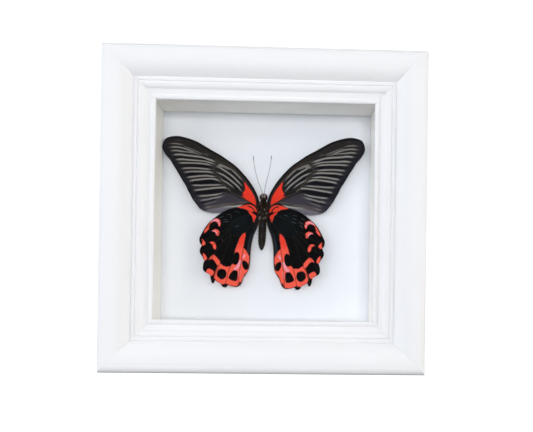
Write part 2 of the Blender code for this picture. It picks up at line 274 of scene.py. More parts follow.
# Satin white alkyd paint: an even, slightly blue white with a soft gloss, faint strokes along the rail
# and a fine orange peel.
paint, tree, shader = new_material("satin_white_paint")
along = add_node(tree, "Attribute", attribute_name="along_mm")
girth = add_node(tree, "Attribute", attribute_name="girth_mm")
stroke_at = add_node(tree, "CombineXYZ", {"X": along.outputs["Fac"], "Y": girth.outputs["Fac"]})
stretched = add_node(tree, "Mapping", {"Vector": stroke_at, "Scale": (1 / 25, 1 / 0.9, 1)})
strokes = add_node(tree, "TexNoise", {"Vector": stretched, "Scale": 1.0, "Detail": 3.0})
where = add_node(tree, "TexCoord").outputs["Object"]
peel = add_node(tree, "TexNoise", {"Vector": where, "Scale": 1 / (0.8 * MM), "Detail": 2.0})
clouds = add_node(tree, "TexNoise", {"Vector": where, "Scale": 1 / (60 * MM), "Detail": 3.0})
tint = add_node(tree, "Mix", {0: clouds, 6: linear("#F2F2F3"), 7: linear("#EFF0F1")}, data_type="RGBA")
gloss = add_node(tree, "MapRange", {"Value": strokes, "To Min": 0.36, "To Max": 0.5})
relief = add_node(tree, "Math", {0: strokes, 1: 0.6, 2: peel}, operation="MULTIPLY_ADD")
bump = add_node(tree, "Bump", {"Height": relief, "Strength": 0.1, "Distance": 0.02 * MM})
connect(tree, shader, {"Base Color": tint, "Roughness": gloss, "Normal": bump, "IOR": 1.48})

MITRE_GAP = 0.02  # half the hairline between two rails
MITRE_SINK = 0.05  # how far the paint draws in at a mitre
section = moulding()
girths = np.concatenate([[0], np.cumsum(np.linalg.norm(np.diff(section, axis=0), axis=1))])
near_mitre = np.array([0.0, 0.15, 0.3, 0.5, 0.8, 1.4])


def rail(turns):
    """One rail. Each point of the section runs the rail's length, and stops on the 45 degree planes.

    Across is the way along times (half the frame less the distance in), up is half the frame less the
    distance in, and the surface sinks towards each mitre as an exponential of the distance to it.
    """
    inward, back = section[:, 0], section[:, 1]
    length = HALF / MM - inward - MITRE_GAP * math.sqrt(2)
    even_steps = np.linspace(-1, 1, 25)[1:-1, None] * (length - near_mitre[-1] - 1)[None]
    ends = length[None] - near_mitre[:, None]
    across = np.concatenate([-ends, even_steps, ends[::-1]])
    sink = MITRE_SINK * np.exp(-(length[None] - np.abs(across)) / 0.35)
    sink = np.where(back[None] < 14, sink, 0)
    up = np.broadcast_to(HALF / MM - inward, across.shape)
    deep = np.maximum(back[None] + sink, 0)
    angle = turns * math.pi / 2
    x = across * math.cos(angle) + up * math.sin(angle)
    z = up * math.cos(angle) - across * math.sin(angle)
    points = np.stack([x * MM, front_y + deep * MM, centre_z + z * MM], -1)
    rows, columns = across.shape
    faces = list(grid_faces(rows, columns, True))
    faces += [np.arange(columns), np.arange(columns) + (rows - 1) * columns]
    girth_all = np.broadcast_to(girths + 200 * turns, across.shape)
    return points, faces, across, girth_all


for turns, side in enumerate(("top", "right", "bottom", "left")):
    points, faces, along_mm, girth_mm = rail(turns)
    mesh = build_mesh(points, faces, along_mm=along_mm, girth_mm=girth_mm)
    mesh.set_sharp_from_angle(angle=math.radians(40))
    add_piece(f"moulded_rail_{side}", mesh, paint, "white_paint", f"rail_{side}")

# ---------------------------------------------------------------------------------------------
# Glass
# A pane of 2 mm float glass, clean and clear. Light goes straight through it, and its front returns
# about a hundredth of the room, less than bare glass would, so that the specimen stays clear.
# ---------------------------------------------------------------------------------------------

pane = bpy.data.materials.new("float_glass")
pane.use_nodes = True
tree = pane.node_tree
tree.nodes.clear()
facing = add_node(tree, "Fresnel", {"IOR": 1.22})
skin = add_node(tree, "NewGeometry")
front_only = add_node(tree, "Math", {0: 1.0, 1: skin.outputs["Backfacing"]}, operation="SUBTRACT")
returned = add_node(tree, "Math", {0: facing, 1: front_only}, operation="MULTIPLY")
through = add_node(tree, "BsdfTransparent", {"Color": (1, 1, 1, 1)})
mirror = add_node(tree, "BsdfGlossy", {"Roughness": 0.02})
both = add_node(tree, "MixShader", {0: returned, 1: through, 2: mirror})
add_node(tree, "OutputMaterial", {"Surface": both})


def refinish(node, material):
    """Give a CAD node that stays in view its finished material."""
    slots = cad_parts[node].data.materials
    slots.clear()
    slots.append(material)


refinish("glass", pane)

# ---------------------------------------------------------------------------------------------
# Spacers and card
# Strips of white foam board line the recess, and a sheet of white mount card closes it. Both are
# matt paper surfaces with a faint tooth.
# ---------------------------------------------------------------------------------------------


def mottled(name, pattern, codes, roughness, relief=None, patches=None):
    """Two close colours mixed by a pattern, which is a texture, its size in mm and its detail.

    The pattern also stands in relief, by a strength and a depth in mm. Patches, if given, are a second
    pattern that mixes the colours in its place.
    """
    made, tree, shader = new_material(name)
    where = add_node(tree, "TexCoord").outputs["Object"]
    grains = []
    for kind, size, detail in filter(None, (pattern, patches)):
        grains.append(add_node(tree, kind, {"Vector": where, "Scale": 1 / (size * MM), "Detail": detail}))
    colours = {0: grains[-1], 6: linear(codes[0]), 7: linear(codes[1])}
    tint = add_node(tree, "Mix", colours, data_type="RGBA")
    connect(tree, shader, {"Base Color": tint, "Roughness": roughness})
    if relief:
        strength, depth = relief
        bump = add_node(tree, "Bump", {"Height": grains[0], "Strength": strength, "Distance": depth * MM})
        connect(tree, shader, {"Normal": bump})
    return made


# Mount card: cool white, with a fine tooth and slow clouds in its pulp.
card_whites = ("#F5F8FC", "#F1F5FA")
tooth, clouds = ("TexNoise", 0.5, 4.0), ("TexNoise", 12, 4.0)
card = mottled("white_mount_card", tooth, card_whites, 0.85, (0.3, 0.02), clouds)
refinish("backing_card", card)

# The foam board's paper face is a touch warmer, and a little smoother.
board = mottled("white_foam_board", ("TexNoise", 0.7, 3.0), ("#FDFCF8", "#FAF9F4"), 0.7, (0.2, 0.02))
for name in ("spacer_top", "spacer_bottom", "spacer_left", "spacer_right"):
    refinish(name, board)

# ---------------------------------------------------------------------------------------------
# Back board, points and hanger
# A sheet of hardboard, smooth in front and screen-marked behind, held by eight flat steel points
# pushed into the rebate. A zinc-plated sawtooth hanger is nailed to the top rail by two nails.
# ---------------------------------------------------------------------------------------------

# Tempered hardboard: pressed brown wood fibre, with the weave of the press screen on its back.
hardboard, tree, shader = new_material("tempered_hardboard")
where = add_node(tree, "TexCoord").outputs["Object"]
fibre = add_node(tree, "TexNoise", {"Vector": where, "Scale": 1 / (0.9 * MM), "Detail": 6.0})
patches = add_node(tree, "TexNoise", {"Vector": where, "Scale": 1 / (25 * MM), "Detail": 3.0})
brown = add_node(tree, "Mix", {0: fibre, 6: linear("#5B3D27"), 7: linear("#86603F")}, data_type="RGBA")
blotch = add_node(tree, "Mix", {0: patches, 6: brown, 7: linear("#6B4A30")}, data_type="RGBA")
SCREEN_PITCH = 1.4  # mm between the wires of the press screen
wires = {"Vector": where, "Scale": math.pi / (10 * SCREEN_PITCH * MM)}
warp = add_node(tree, "TexWave", wires, bands_direction="X")
weft = add_node(tree, "TexWave", wires, bands_direction="Z")
screen = add_node(tree, "Math", {0: warp.outputs["Fac"], 1: weft.outputs["Fac"]}, operation="MULTIPLY")
bump = add_node(tree, "Bump", {"Height": screen, "Strength": 0.6, "Distance": 0.15 * MM})
connect(tree, shader, {"Base Color": blotch, "Normal": bump, "Roughness": 0.7})
refinish("back_board", hardboard)


def bright_metal(name, pale, dark, roughness, spangle):
    """A plated or rolled metal: two close greys in crystals of a size in mm, and a fine scratch relief."""
    made, tree, shader = new_material(name)
    where = add_node(tree, "TexCoord").outputs["Object"]
    crystals = add_node(tree, "TexVoronoi", {"Vector": where, "Scale": 1 / (spangle * MM)}).outputs["Color"]
    tint = add_node(tree, "Mix", {0: crystals, 6: linear(dark), 7: linear(pale)}, data_type="RGBA")
    scratch = add_node(tree, "TexNoise", {"Vector": where, "Scale": 1 / (0.3 * MM), "Detail": 5.0})
    bump = add_node(tree, "Bump", {"Height": scratch, "Strength": 0.2, "Distance": 0.02 * MM})
    worn = {"Value": scratch, "To Min": roughness - 0.08, "To Max": roughness + 0.12}
    rough = add_node(tree, "MapRange", worn)
    connect(tree, shader, {"Base Color": tint, "Roughness": rough, "Normal": bump, "Metallic": 1.0})
    return made


def eased(node, name, width, material, slot):
    """A copy of a CAD node with its edges rounded over by a bevel of that width in mm."""
    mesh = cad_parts[node].data.copy()
    mesh.materials.clear()
    shape = bmesh.new()
    shape.from_mesh(mesh)
    bmesh.ops.remove_doubles(shape, verts=shape.verts, dist=0.001 * MM)
    bmesh.ops.dissolve_limit(shape, angle_limit=math.radians(1), verts=shape.verts, edges=shape.edges)
    sharp = [e for e in shape.edges if len(e.link_faces) == 2 and e.calc_face_angle() > math.radians(25)]
    bmesh.ops.bevel(
        shape, geom=sharp, offset=width * MM, segments=2, profile=0.5, affect="EDGES", clamp_overlap=True
    )
    shape.to_mesh(mesh)
    shape.free()
    mesh.shade_smooth()
    mesh.set_sharp_from_angle(angle=math.radians(50))
    return add_piece(name, mesh, material, slot, node)


# Bright rolled steel strip for the points, and zinc-plated steel, with its fine spangle, for the hanger.
strip_steel = bright_metal("rolled_strip_steel", "#B9BCBF", "#A2A5A8", 0.36, 1.2)
zinc = bright_metal("zinc_plated_steel", "#D2D4D3", "#BBBEC0", 0.32, 0.7)
for node in sorted(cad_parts):
    if node.startswith("point_"):
        eased(node, f"steel_{node}", 0.1, strip_steel, "steel")
eased("hanger", "sawtooth_hanger", 0.12, zinc, "zinc_plate")

for side in ("left", "right"):
    low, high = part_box(f"hanger_nail_{side}")
    radius = (high.x - low.x) / 2
    length = high.y - low.y
    # Profile: a low dome for the head, a flat under it, and a shank that ends in a point.
    dome = arc((0, 0.25 * MM), (radius, 0.35 * MM), 90, 0, 10)
    shank = [(0.6 * MM, 0), (0.6 * MM, 2.2 * MM - length), (0, 0.6 * MM - length)]
    profile = np.concatenate([dome, [(radius * 0.97, 0)], shank])
    spin = np.linspace(0, 2 * math.pi, 32, endpoint=False)
    around = np.stack([np.cos(spin), 0 * spin, np.sin(spin)], -1)
    axis = np.array([(low.x + high.x) / 2, high.y - 0.6 * MM, (low.z + high.z) / 2])
    points = axis + profile[:, None, :1] * around[None] + profile[:, None, 1:] * np.array([0, 1, 0])
    mesh = build_mesh(points, grid_faces(*points.shape[:2], True))
    mesh.set_sharp_from_angle(angle=math.radians(40))
    add_piece(f"hanger_nail_{side}_turned", mesh, zinc, "zinc_plate", f"hanger_nail_{side}")

# ---------------------------------------------------------------------------------------------
# Forewings
# A swallowtail's forewings, dried flat: a thin membrane on black veins, covered in scales. The underside
# shows, with grey streaks along the veins and a red patch at the root. All outlines are in mm, out from
# the body's axis and up from the middle of the frame.
# ---------------------------------------------------------------------------------------------

axis_x = (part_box("forewing_left")[0].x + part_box("forewing_right")[1].x) / 2


def spline(held, way):
    """Catmull-Rom: between two points runs the cubic whose slope at each is half the step between
    that point's neighbours. The first and last point held only give slopes."""
    piece = np.minimum(way.astype(int), len(held) - 4)
    f = (way - piece)[:, None]
    a, b, c, d = held[piece], held[piece + 1], held[piece + 2], held[piece + 3]
    return 0.5 * (2 * b + (c - a) * f + (2 * a - 5 * b + 4 * c - d) * f**2 + (3 * b - a - 3 * c + d) * f**3)


def curve(points, count):
    """A spline through the points, read at even steps of its length."""
    points = np.asarray(points, float)
    held = np.concatenate([points[:1] * 2 - points[1:2], points, points[-1:] * 2 - points[-2:-1]])
    fine = spline(held, np.linspace(0, len(points) - 1, 24 * (len(points) - 1) + 1))
    run = np.concatenate([[0], np.cumsum(np.linalg.norm(np.diff(fine, axis=0), axis=1))])
    at = np.linspace(0, run[-1], count)
    return np.stack([np.interp(at, run, axis) for axis in fine.T], 1)


def patch(front, outer, rear, rows, columns):
    """A Coons patch: s runs from the root to the outer margin and t from the front edge to the rear.

    It is the blend across t of the two edges, plus the blend along s of the root and the outer
    margin, less the bilinear blend of the four corners.
    """
    s = np.linspace(0, 1, rows)[:, None, None]
    t = np.linspace(0, 1, columns)[None, :, None]
    lead, trail, tip = curve(front, rows)[:, None], curve(rear, rows)[:, None], curve(outer, columns)[None]
    root = lead[:1] * (1 - t) + trail[:1] * t
    corners = (1 - s) * root + s * ((1 - t) * lead[-1:] + t * trail[-1:])
    return (1 - t) * lead + t * trail + (1 - s) * root + s * tip - corners


def distance(sheet, line):
    """How far each point of the sheet is from the nearest stretch of a line, in mm."""
    best = np.full(sheet.shape[:2], 1e9)
    for a, b in zip(line[:-1], line[1:]):
        along = np.clip(((sheet - a) @ (b - a)) / max((b - a) @ (b - a), 1e-9), 0, 1)
        best = np.minimum(best, np.linalg.norm(sheet - a - along[..., None] * (b - a), axis=-1))
    return best


def inside(sheet, points):
    """How deep each point lies inside a closed spline through the points, in mm; negative outside.

    The depth is the distance to the outline, and its sign comes from how many stretches of the
    outline lie to the right of the point: an odd number is inside.
    """
    points = np.asarray(points, float)
    held = np.concatenate([points[-1:], points, points[:2]])
    ring = spline(held, np.arange(len(points) * 5) / 5)
    following = np.roll(ring, -1, axis=0)
    crossings = np.zeros(sheet.shape[:2], int)
    for a, b in zip(ring, following):
        if a[1] != b[1]:
            spans = (a[1] > sheet[..., 1]) != (b[1] > sheet[..., 1])
            meets = a[0] + (sheet[..., 1] - a[1]) * (b[0] - a[0]) / (b[1] - a[1])
            crossings += spans & (sheet[..., 0] < meets)
    edge = distance(sheet, np.concatenate([ring, ring[:1]]))
    return np.where(crossings % 2 == 1, edge, -edge)


def step(value, low, high):
    """A smooth step from 0 at low to 1 at high."""
    f = np.clip((value - low) / (high - low), 0, 1)
    return f * f * (3 - 2 * f)


def curl(sheet):
    """How far the set wings stand towards the glass, in mm, the same for both so that they never cross.

    It grows as the square of the way out, with a slow wave across the wing.
    """
    out, up = sheet[..., 0], sheet[..., 1]
    return 0.9 * (out / 65) ** 2 + 0.3 * np.sin(out / 9 + up / 14) * step(out, 6, 20)


def wing_piece(kind, side, material, sheet, relief, masks, turn, breadth):
    """A closed skin: the sheet's front face, then its back face read the other way, joined all round.

    Both faces stand half the membrane's thickness from the middle; the veins' relief and the curl
    bring them towards the glass. Mirrored for the left side, and made broader and turned a little
    about the root, as no two wings are quite alike.
    """
    node = f"{kind}_{side}"
    low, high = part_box(node)
    mirror = -1 if side == "left" else 1
    angle = math.radians(turn)
    turned = (sheet - WING_ROOT) * np.array([1.0, breadth])
    turned = np.stack([
        turned[..., 0] * math.cos(angle) - turned[..., 1] * math.sin(angle),
        turned[..., 0] * math.sin(angle) + turned[..., 1] * math.cos(angle),
    ], -1) + WING_ROOT  # fmt: skip
    middle = (low.y + high.y) / 2 / MM - curl(turned)
    front = middle - MEMBRANE / 2 - relief
    back = middle + MEMBRANE / 2 - relief * 0.5
    x, z = axis_x + mirror * turned[..., 0] * MM, centre_z + turned[..., 1] * MM
    face = np.stack([x, front * MM, z], -1)
    rear = np.stack([x, back * MM, z], -1)[:, ::-1]
    points = np.concatenate([face, rear], 1)
    rows, columns = points.shape[:2]
    half = columns // 2
    faces = list(grid_faces(rows, columns, True))
    here, there = np.arange(half - 1), np.arange(1, half)
    cap = np.stack([here, there, columns - 1 - there, columns - 1 - here], 1)
    faces += list(cap) + list(cap + (rows - 1) * columns)
    both = {key: np.concatenate([value, value[:, ::-1]], 1) for key, value in masks.items()}
    add_piece(f"{node}_scaled", build_mesh(points, faces, **both), material, f"{kind}_scales", node)


MEMBRANE = 0.12  # mm between the front and the back face
WING_ROOT = np.array([4.0, 4.0])  # the point that a wing is turned about
FORE_FRONT = [
    (2.4, 9.0), (3.7, 13.6), (5.6, 17.7), (8.6, 22.5), (12.8, 27.7), (18.0, 33.1), (23.1, 36.9),
    (28.9, 40.7), (35.2, 44.1), (40.5, 47.1), (45.3, 49.7), (51.0, 51.7), (55.8, 52.8), (59.6, 53.0),
    (63.4, 52.4),
]  # fmt: skip
FORE_OUTER = [
    (63.4, 52.4), (65.8, 51.2), (67.4, 48.7), (68.0, 45.8), (67.3, 43.0), (66.1, 41.1), (64.7, 39.2),
    (62.3, 36.4), (60.3, 33.0), (58.4, 30.2), (56.4, 26.9), (54.4, 23.6), (52.0, 19.8), (50.5, 16.5),
    (49.1, 14.1), (47.6, 11.2), (45.2, 7.9), (42.7, 4.8),
]  # fmt: skip
FORE_REAR = [
    (2.4, 5.4), (10.0, 4.6), (18.0, 3.4), (25.0, 2.4), (32.2, 2.0), (36.0, 2.3), (39.8, 3.2), (42.7, 4.8),
]  # fmt: skip
FORE_CELL = [
    [(3.5, 10.2), (8.0, 19.7), (13.4, 26.8), (19.2, 32.3), (25.5, 36.7), (32.8, 41.4), (38.1, 45.0),
     (40.5, 47.2)],
    [(3.5, 8.7), (8.0, 16.3), (12.6, 23.5), (18.6, 29.8), (22.1, 32.8), (26.0, 35.2), (30.1, 36.6),
     (32.5, 38.0)],
    [(3.5, 6.3), (9.2, 9.1), (13.1, 11.4), (17.0, 13.9), (20.9, 15.6), (23.5, 17.4), (25.8, 20.6),
     (28.1, 23.2), (30.3, 25.6)],
    [(30.3, 25.6), (32.0, 27.9), (33.5, 30.3), (33.4, 31.8), (32.4, 33.8), (31.0, 34.9), (30.1, 36.6)],
    [(4.0, 6.5), (9.5, 8.4), (14.3, 8.4), (19.5, 8.2)],
]  # fmt: skip
FORE_BRANCHES = [
    [(23.1, 32.7), (32.7, 39.2), (40.5, 44.6), (46.3, 49.7)],
    [(26.5, 34.8), (37.6, 41.0), (49.6, 48.0), (56.8, 52.0)],
    [(32.5, 38.0), (37.5, 40.9), (43.0, 44.8), (49.6, 48.4), (56.8, 49.4), (64.0, 49.0)],
    [(32.5, 38.0), (37.5, 39.6), (41.7, 42.0), (47.3, 44.5), (52.9, 46.4), (58.5, 46.8), (65.0, 46.8)],
    [(30.5, 36.6), (34.7, 38.2), (41.7, 40.0), (47.3, 41.3), (52.8, 41.8), (58.4, 41.9), (65.5, 41.8)],
    [(24.0, 16.6), (27.3, 15.0), (31.9, 13.3), (37.6, 12.3), (42.7, 11.7), (47.0, 11.6)],
]  # fmt: skip
# The veins with an even pair of pale lines beside them, from the end of the cell to the margin.
PAIRED_VEINS = [
    [(32.7, 33.8), (37.4, 35.3), (43.0, 36.0), (50.0, 36.1), (56.1, 36.0), (62.5, 36.3)],
    [(34.0, 30.4), (38.8, 30.4), (45.7, 30.3), (52.6, 29.7), (58.0, 29.6)],
    [(30.8, 25.8), (35.9, 25.6), (41.5, 25.3), (48.4, 24.5), (54.5, 24.1)],
    [(26.3, 20.4), (33.0, 19.8), (41.4, 19.1), (48.6, 18.5), (51.6, 18.3)],
]  # fmt: skip
# The pale lines, from the tip to the rear, the cell's four and the one by the front edge, each with its
# half-width in mm and its strength. They lie in pairs beside the veins, and taper to both ends.
PALE_LINES = [
    ([(61.0, 49.9), (56.0, 50.0), (52.9, 49.4), (48.2, 47.8), (44.2, 46.2), (40.5, 44.3), (37.5, 41.9),
      (34.1, 39.6)], 0.6, 0.4),
    ([(63.9, 47.6), (60.2, 47.9), (56.2, 47.4), (52.2, 45.9), (48.2, 44.4), (44.8, 42.9), (41.8, 41.8),
      (36.0, 40.0)], 0.55, 0.62),
    ([(63.9, 45.3), (58.5, 45.6), (54.5, 45.0), (50.9, 44.0), (48.2, 42.8), (44.8, 41.9)], 0.6, 0.75),
    ([(63.5, 42.9), (58.5, 43.2), (54.5, 42.6), (49.5, 42.0), (45.5, 41.2), (41.8, 40.8)], 0.6, 0.8),
    ([(62.0, 40.2), (56.1, 40.6), (52.1, 40.1), (46.1, 39.6), (40.8, 39.0), (36.1, 37.5), (32.0, 36.2)],
      0.65, 0.95),
    ([(60.5, 37.0), (54.4, 37.4), (50.8, 37.1), (44.7, 36.7), (39.4, 36.2), (34.4, 35.0), (32.6, 34.4)],
      0.6, 1.0),
    ([(58.0, 34.8), (52.1, 35.0), (48.1, 35.0), (42.7, 34.9), (37.4, 34.4), (34.4, 33.6)], 0.58, 0.9),
    ([(56.6, 31.0), (50.7, 31.6), (46.0, 31.7), (41.0, 31.5), (36.0, 30.9), (34.2, 30.6)], 0.55, 0.9),
    ([(54.6, 28.2), (49.3, 29.3), (44.6, 29.4), (39.3, 29.5), (35.6, 29.2), (33.3, 28.3)], 0.58, 0.95),
    ([(52.8, 24.9), (48.6, 25.7), (42.6, 26.5), (37.9, 26.8), (34.6, 26.4), (31.2, 26.0)], 0.58, 0.95),
    ([(50.9, 22.3), (47.2, 23.5), (42.6, 24.2), (38.6, 24.7), (35.2, 25.0), (31.9, 24.4), (28.8, 23.1)],
      0.6, 1.0),
    ([(49.4, 20.2), (42.5, 20.2), (37.2, 20.5), (33.2, 20.7), (30.1, 20.8), (27.3, 20.7)], 0.55, 0.9),
    ([(48.2, 16.3), (44.1, 17.1), (39.8, 17.7), (34.5, 18.5), (29.8, 19.0), (25.8, 19.1), (23.7, 18.2),
      (22.4, 17.1)], 0.58, 1.0),
    ([(44.6, 13.0), (39.7, 13.3), (34.4, 13.9), (29.7, 14.6), (25.1, 15.8)], 0.58, 0.95),
    ([(43.8, 8.5), (42.3, 9.8), (39.7, 10.5), (37.0, 10.9), (33.7, 11.8), (29.7, 12.7), (26.6, 13.5)], 0.6,
      0.75),
    ([(41.6, 7.3), (38.3, 7.7), (36.3, 8.4), (34.3, 9.1), (29.7, 10.2)], 0.6, 0.42),
    ([(41.6, 4.5), (39.6, 5.1), (36.9, 5.7), (33.6, 6.9)], 0.55, 0.5),
    ([(28.6, 38.0), (25.0, 35.6), (21.6, 32.7), (17.3, 28.8), (14.2, 25.5), (12.5, 23.2)], 0.4, 0.45),
    ([(23.5, 32.4), (20.4, 30.3), (17.9, 27.9), (16.1, 26.1), (13.8, 23.4)], 0.5, 0.85),
    ([(31.2, 33.2), (27.7, 31.4), (23.4, 28.7), (20.3, 26.3), (17.2, 23.3), (14.4, 20.4)], 0.55, 1.0),
    ([(31.8, 29.5), (28.9, 28.3), (26.4, 27.1), (23.4, 25.0), (20.3, 22.6), (17.5, 20.2), (14.6, 16.9)],
      0.55, 1.0),
    ([(29.4, 26.3), (27.6, 24.2), (24.8, 22.6), (22.7, 21.2), (19.6, 18.8)], 0.5, 0.85),
]  # fmt: skip
# The black lenses between one pair of pale lines and the next, and those in the cell.
DARK_LENSES = [
    [(55.0, 38.8), (50.0, 38.6), (44.0, 38.1), (38.0, 36.9)],
    [(53.5, 33.1), (47.0, 33.3), (41.0, 33.1), (35.6, 32.2)],
    [(51.0, 27.4), (46.0, 27.9), (41.0, 28.2), (36.0, 28.0)],
    [(49.2, 21.3), (41.9, 22.2), (37.2, 22.8), (31.8, 22.7), (28.8, 21.9)],
    [(47.1, 15.0), (39.8, 15.6), (33.1, 16.5), (28.4, 17.2), (25.4, 17.3)],
    [(28.0, 32.6), (24.4, 30.6), (22.2, 29.1), (19.1, 26.6), (16.0, 23.6), (13.4, 20.9)],
    [(30.0, 30.6), (26.5, 28.9), (22.8, 26.4), (19.7, 23.9), (16.0, 20.4), (13.0, 17.4)],
    [(29.8, 26.9), (26.4, 24.9), (23.3, 22.9), (20.2, 20.3), (16.6, 17.0)],
    [(43.8, 7.9), (40.4, 9.1), (36.0, 10.2), (31.0, 11.5)],
]  # fmt: skip
CELL_END_PATCH = [
    (29.6, 35.2), (26.5, 34.2), (22.4, 32.4), (21.4, 31.2), (24.3, 31.4), (27.7, 32.7), (28.7, 31.9),
    (31.4, 32.4), (31.8, 33.3), (30.8, 34.2),
]  # fmt: skip
FORE_CELL_AREA = [
    (3.5, 7.5), (8.0, 16.3), (12.6, 23.5), (18.6, 29.8), (26.0, 35.2), (30.1, 36.6), (32.4, 33.8),
    (33.5, 30.3), (30.3, 25.6), (25.8, 20.6), (20.9, 15.6), (13.1, 11.4),
]  # fmt: skip
DUSKY_AREA = [
    (25.5, 15.6), (20.9, 14.6), (15.0, 11.8), (10.0, 9.0), (16.0, 7.4), (24.0, 6.2), (32.0, 4.6),
    (39.0, 3.6), (44.5, 5.0), (46.4, 8.6), (46.0, 12.0), (40.0, 12.4), (36.0, 12.8), (31.0, 13.9),
]  # fmt: skip
FORE_RED = [
    (12.6, 22.9), (11.0, 20.8), (9.0, 18.3), (6.9, 15.0), (5.5, 11.7), (4.9, 8.6), (5.0, 7.6), (6.6, 8.4),
    (9.2, 9.9), (11.8, 11.6), (14.9, 13.9), (13.0, 13.5), (13.9, 15.2), (12.8, 17.0), (12.3, 18.8),
    (12.5, 20.6), (12.9, 22.2),
]  # fmt: skip
LIGHT_REAR_LINE = [
    (9.0, 8.2), (14.3, 7.2), (18.2, 6.6), (22.0, 6.3), (25.9, 6.1), (29.2, 5.5), (33.6, 4.6), (38.4, 3.6),
]  # fmt: skip


def bell(away, width):
    """A bell curve of the distance from a line: one on it, and near nothing at twice the width."""
    return np.exp(-((away / width) ** 2))


def nearest(sheet, lines, count=30):
    """How far each point of the sheet is from the nearest of several splines, in mm."""
    return np.minimum.reduce([distance(sheet, curve(line, count)) for line in lines])


def streak(sheet, line, count, width, strength, least, taper):
    """A bell curve about a spline, which falls to a least share at its ends over the taper in mm."""
    line = curve(line, count)
    ends = np.minimum(*(np.linalg.norm(sheet - line[end], axis=-1) for end in (0, -1)))
    return bell(distance(sheet, line), width) * strength * (least + (1 - least) * step(ends, 0, taper))


def vein_relief(vein):
    """How far the membrane stands out, in mm: a ridge on each vein, and a hollow between veins."""
    return 0.13 * bell(vein, 0.3) - 0.16 * (1 - bell(vein, 1.6))


sheet = patch(FORE_FRONT, FORE_OUTER, FORE_REAR, 200, 180)
margin = distance(sheet, curve(FORE_OUTER, 80))
costa = distance(sheet, curve(FORE_FRONT, 80))
edge_of_cell = nearest(sheet, FORE_CELL)
branches = nearest(sheet, FORE_BRANCHES)
paired = [distance(sheet, curve(line, 30)) for line in PAIRED_VEINS]
vein = np.minimum.reduce([edge_of_cell, branches, *paired])
out, up = sheet[..., 0], sheet[..., 1]

# The pale lines fade just short of the margin, and are broken by the veins they cross.
pale = np.maximum.reduce([streak(sheet, line, 40, *size, 0.4, 4) for line, *size in PALE_LINES])
in_cell = inside(sheet, FORE_CELL_AREA)
pale = np.maximum(pale, 0.6 * step(inside(sheet, CELL_END_PATCH), -0.7, 0.7))
pale *= step(margin, 0.6, 5.0) * step(costa, 1.6, 4.0) * (1 - 0.6 * bell(vein, 0.3))
stripe = np.maximum.reduce([1 - step(away, 1.2, 1.9) for away in paired]) * step(margin, 1.6, 5.0)
dark = np.maximum.reduce([streak(sheet, line, 30, 0.9, 1.0, 0.3, 3) for line in DARK_LENSES])
dusk = step(inside(sheet, DUSKY_AREA), -1.6, 1.8)
rear_line = distance(sheet, curve(LIGHT_REAR_LINE, 40))
line_height = np.interp(out, *np.transpose(LIGHT_REAR_LINE))
band = bell(rear_line, 0.6 + 0.7 * step(out, 16, 34)) * (1 - 0.75 * step(out, 13, 32)) * step(out, 8, 11)
band *= 1 - step(out, 36, 41)
# Painted sheen: purple-grey colour below the light rear line, in place of the sheen of the scales there.
violet_painted_sheen = step(line_height - up, -0.6, 0.8) * step(out, 16, 26) * (1 - step(out, 37, 43))
fore_masks = {
    "stripe": stripe,
    "pale": pale,
    "dusk": dusk,
    "dark": dark,
    "brown": bell(rear_line - 1.6, 1.1) * (up > line_height) * dusk,
    "violet_painted_sheen": violet_painted_sheen,
    "band": band,
    "cell_mm": in_cell,
    "cell_edge_mm": edge_of_cell,
    "vein_mm": vein,
    "costa_mm": costa,
    "margin_mm": margin,
    "red_mm": inside(sheet, FORE_RED),
}
fore_relief = vein_relief(vein) + 0.1 * bell(costa, 0.5)


def scales(name, ground, layers):
    """Layers of scales over a ground colour. Each layer shows where its attribute passes from low to
    high, with an edge frayed by noise of 0.6 mm, and the whole is dusted by single scales."""
    made, tree, shader = new_material(name)
    where = add_node(tree, "TexCoord").outputs["Object"]
    fray = add_node(tree, "TexNoise", {"Vector": where, "Scale": 1 / (0.6 * MM), "Detail": 3.0})
    centred = add_node(tree, "Math", {0: fray, 1: 0.5}, operation="SUBTRACT")
    colour = linear(ground)
    for attribute, low, high, share, fraying, code in layers:
        mask = add_node(tree, "Attribute", attribute_name=attribute).outputs["Fac"]
        frayed = add_node(tree, "Math", {0: centred, 1: fraying, 2: mask}, operation="MULTIPLY_ADD")
        edge = {"Value": frayed, "From Min": low, "From Max": high, "To Max": share}
        shown = add_node(tree, "MapRange", edge, interpolation_type="SMOOTHSTEP")
        colour = add_node(tree, "Mix", {0: shown, 6: colour, 7: linear(code)}, data_type="RGBA")
    dust = add_node(tree, "TexNoise", {"Vector": where, "Scale": 1 / (0.22 * MM), "Detail": 2.0})
    level = add_node(tree, "MapRange", {"Value": dust, "To Min": 0.7, "To Max": 1.3})
    dusted = add_node(tree, "VectorMath", {0: colour, "Scale": level}, operation="SCALE")
    rows = add_node(tree, "TexVoronoi", {"Vector": where, "Scale": 1 / (0.25 * MM)})
    bump = add_node(tree, "Bump", {"Height": rows, "Strength": 0.35, "Distance": 0.03 * MM})
    connect(tree, shader, {"Base Color": dusted, "Normal": bump, "Roughness": 0.55})
    connect(tree, shader, {"Specular IOR Level": 0.12, "Sheen Weight": 0.08, "Sheen Roughness": 0.4})
    return made
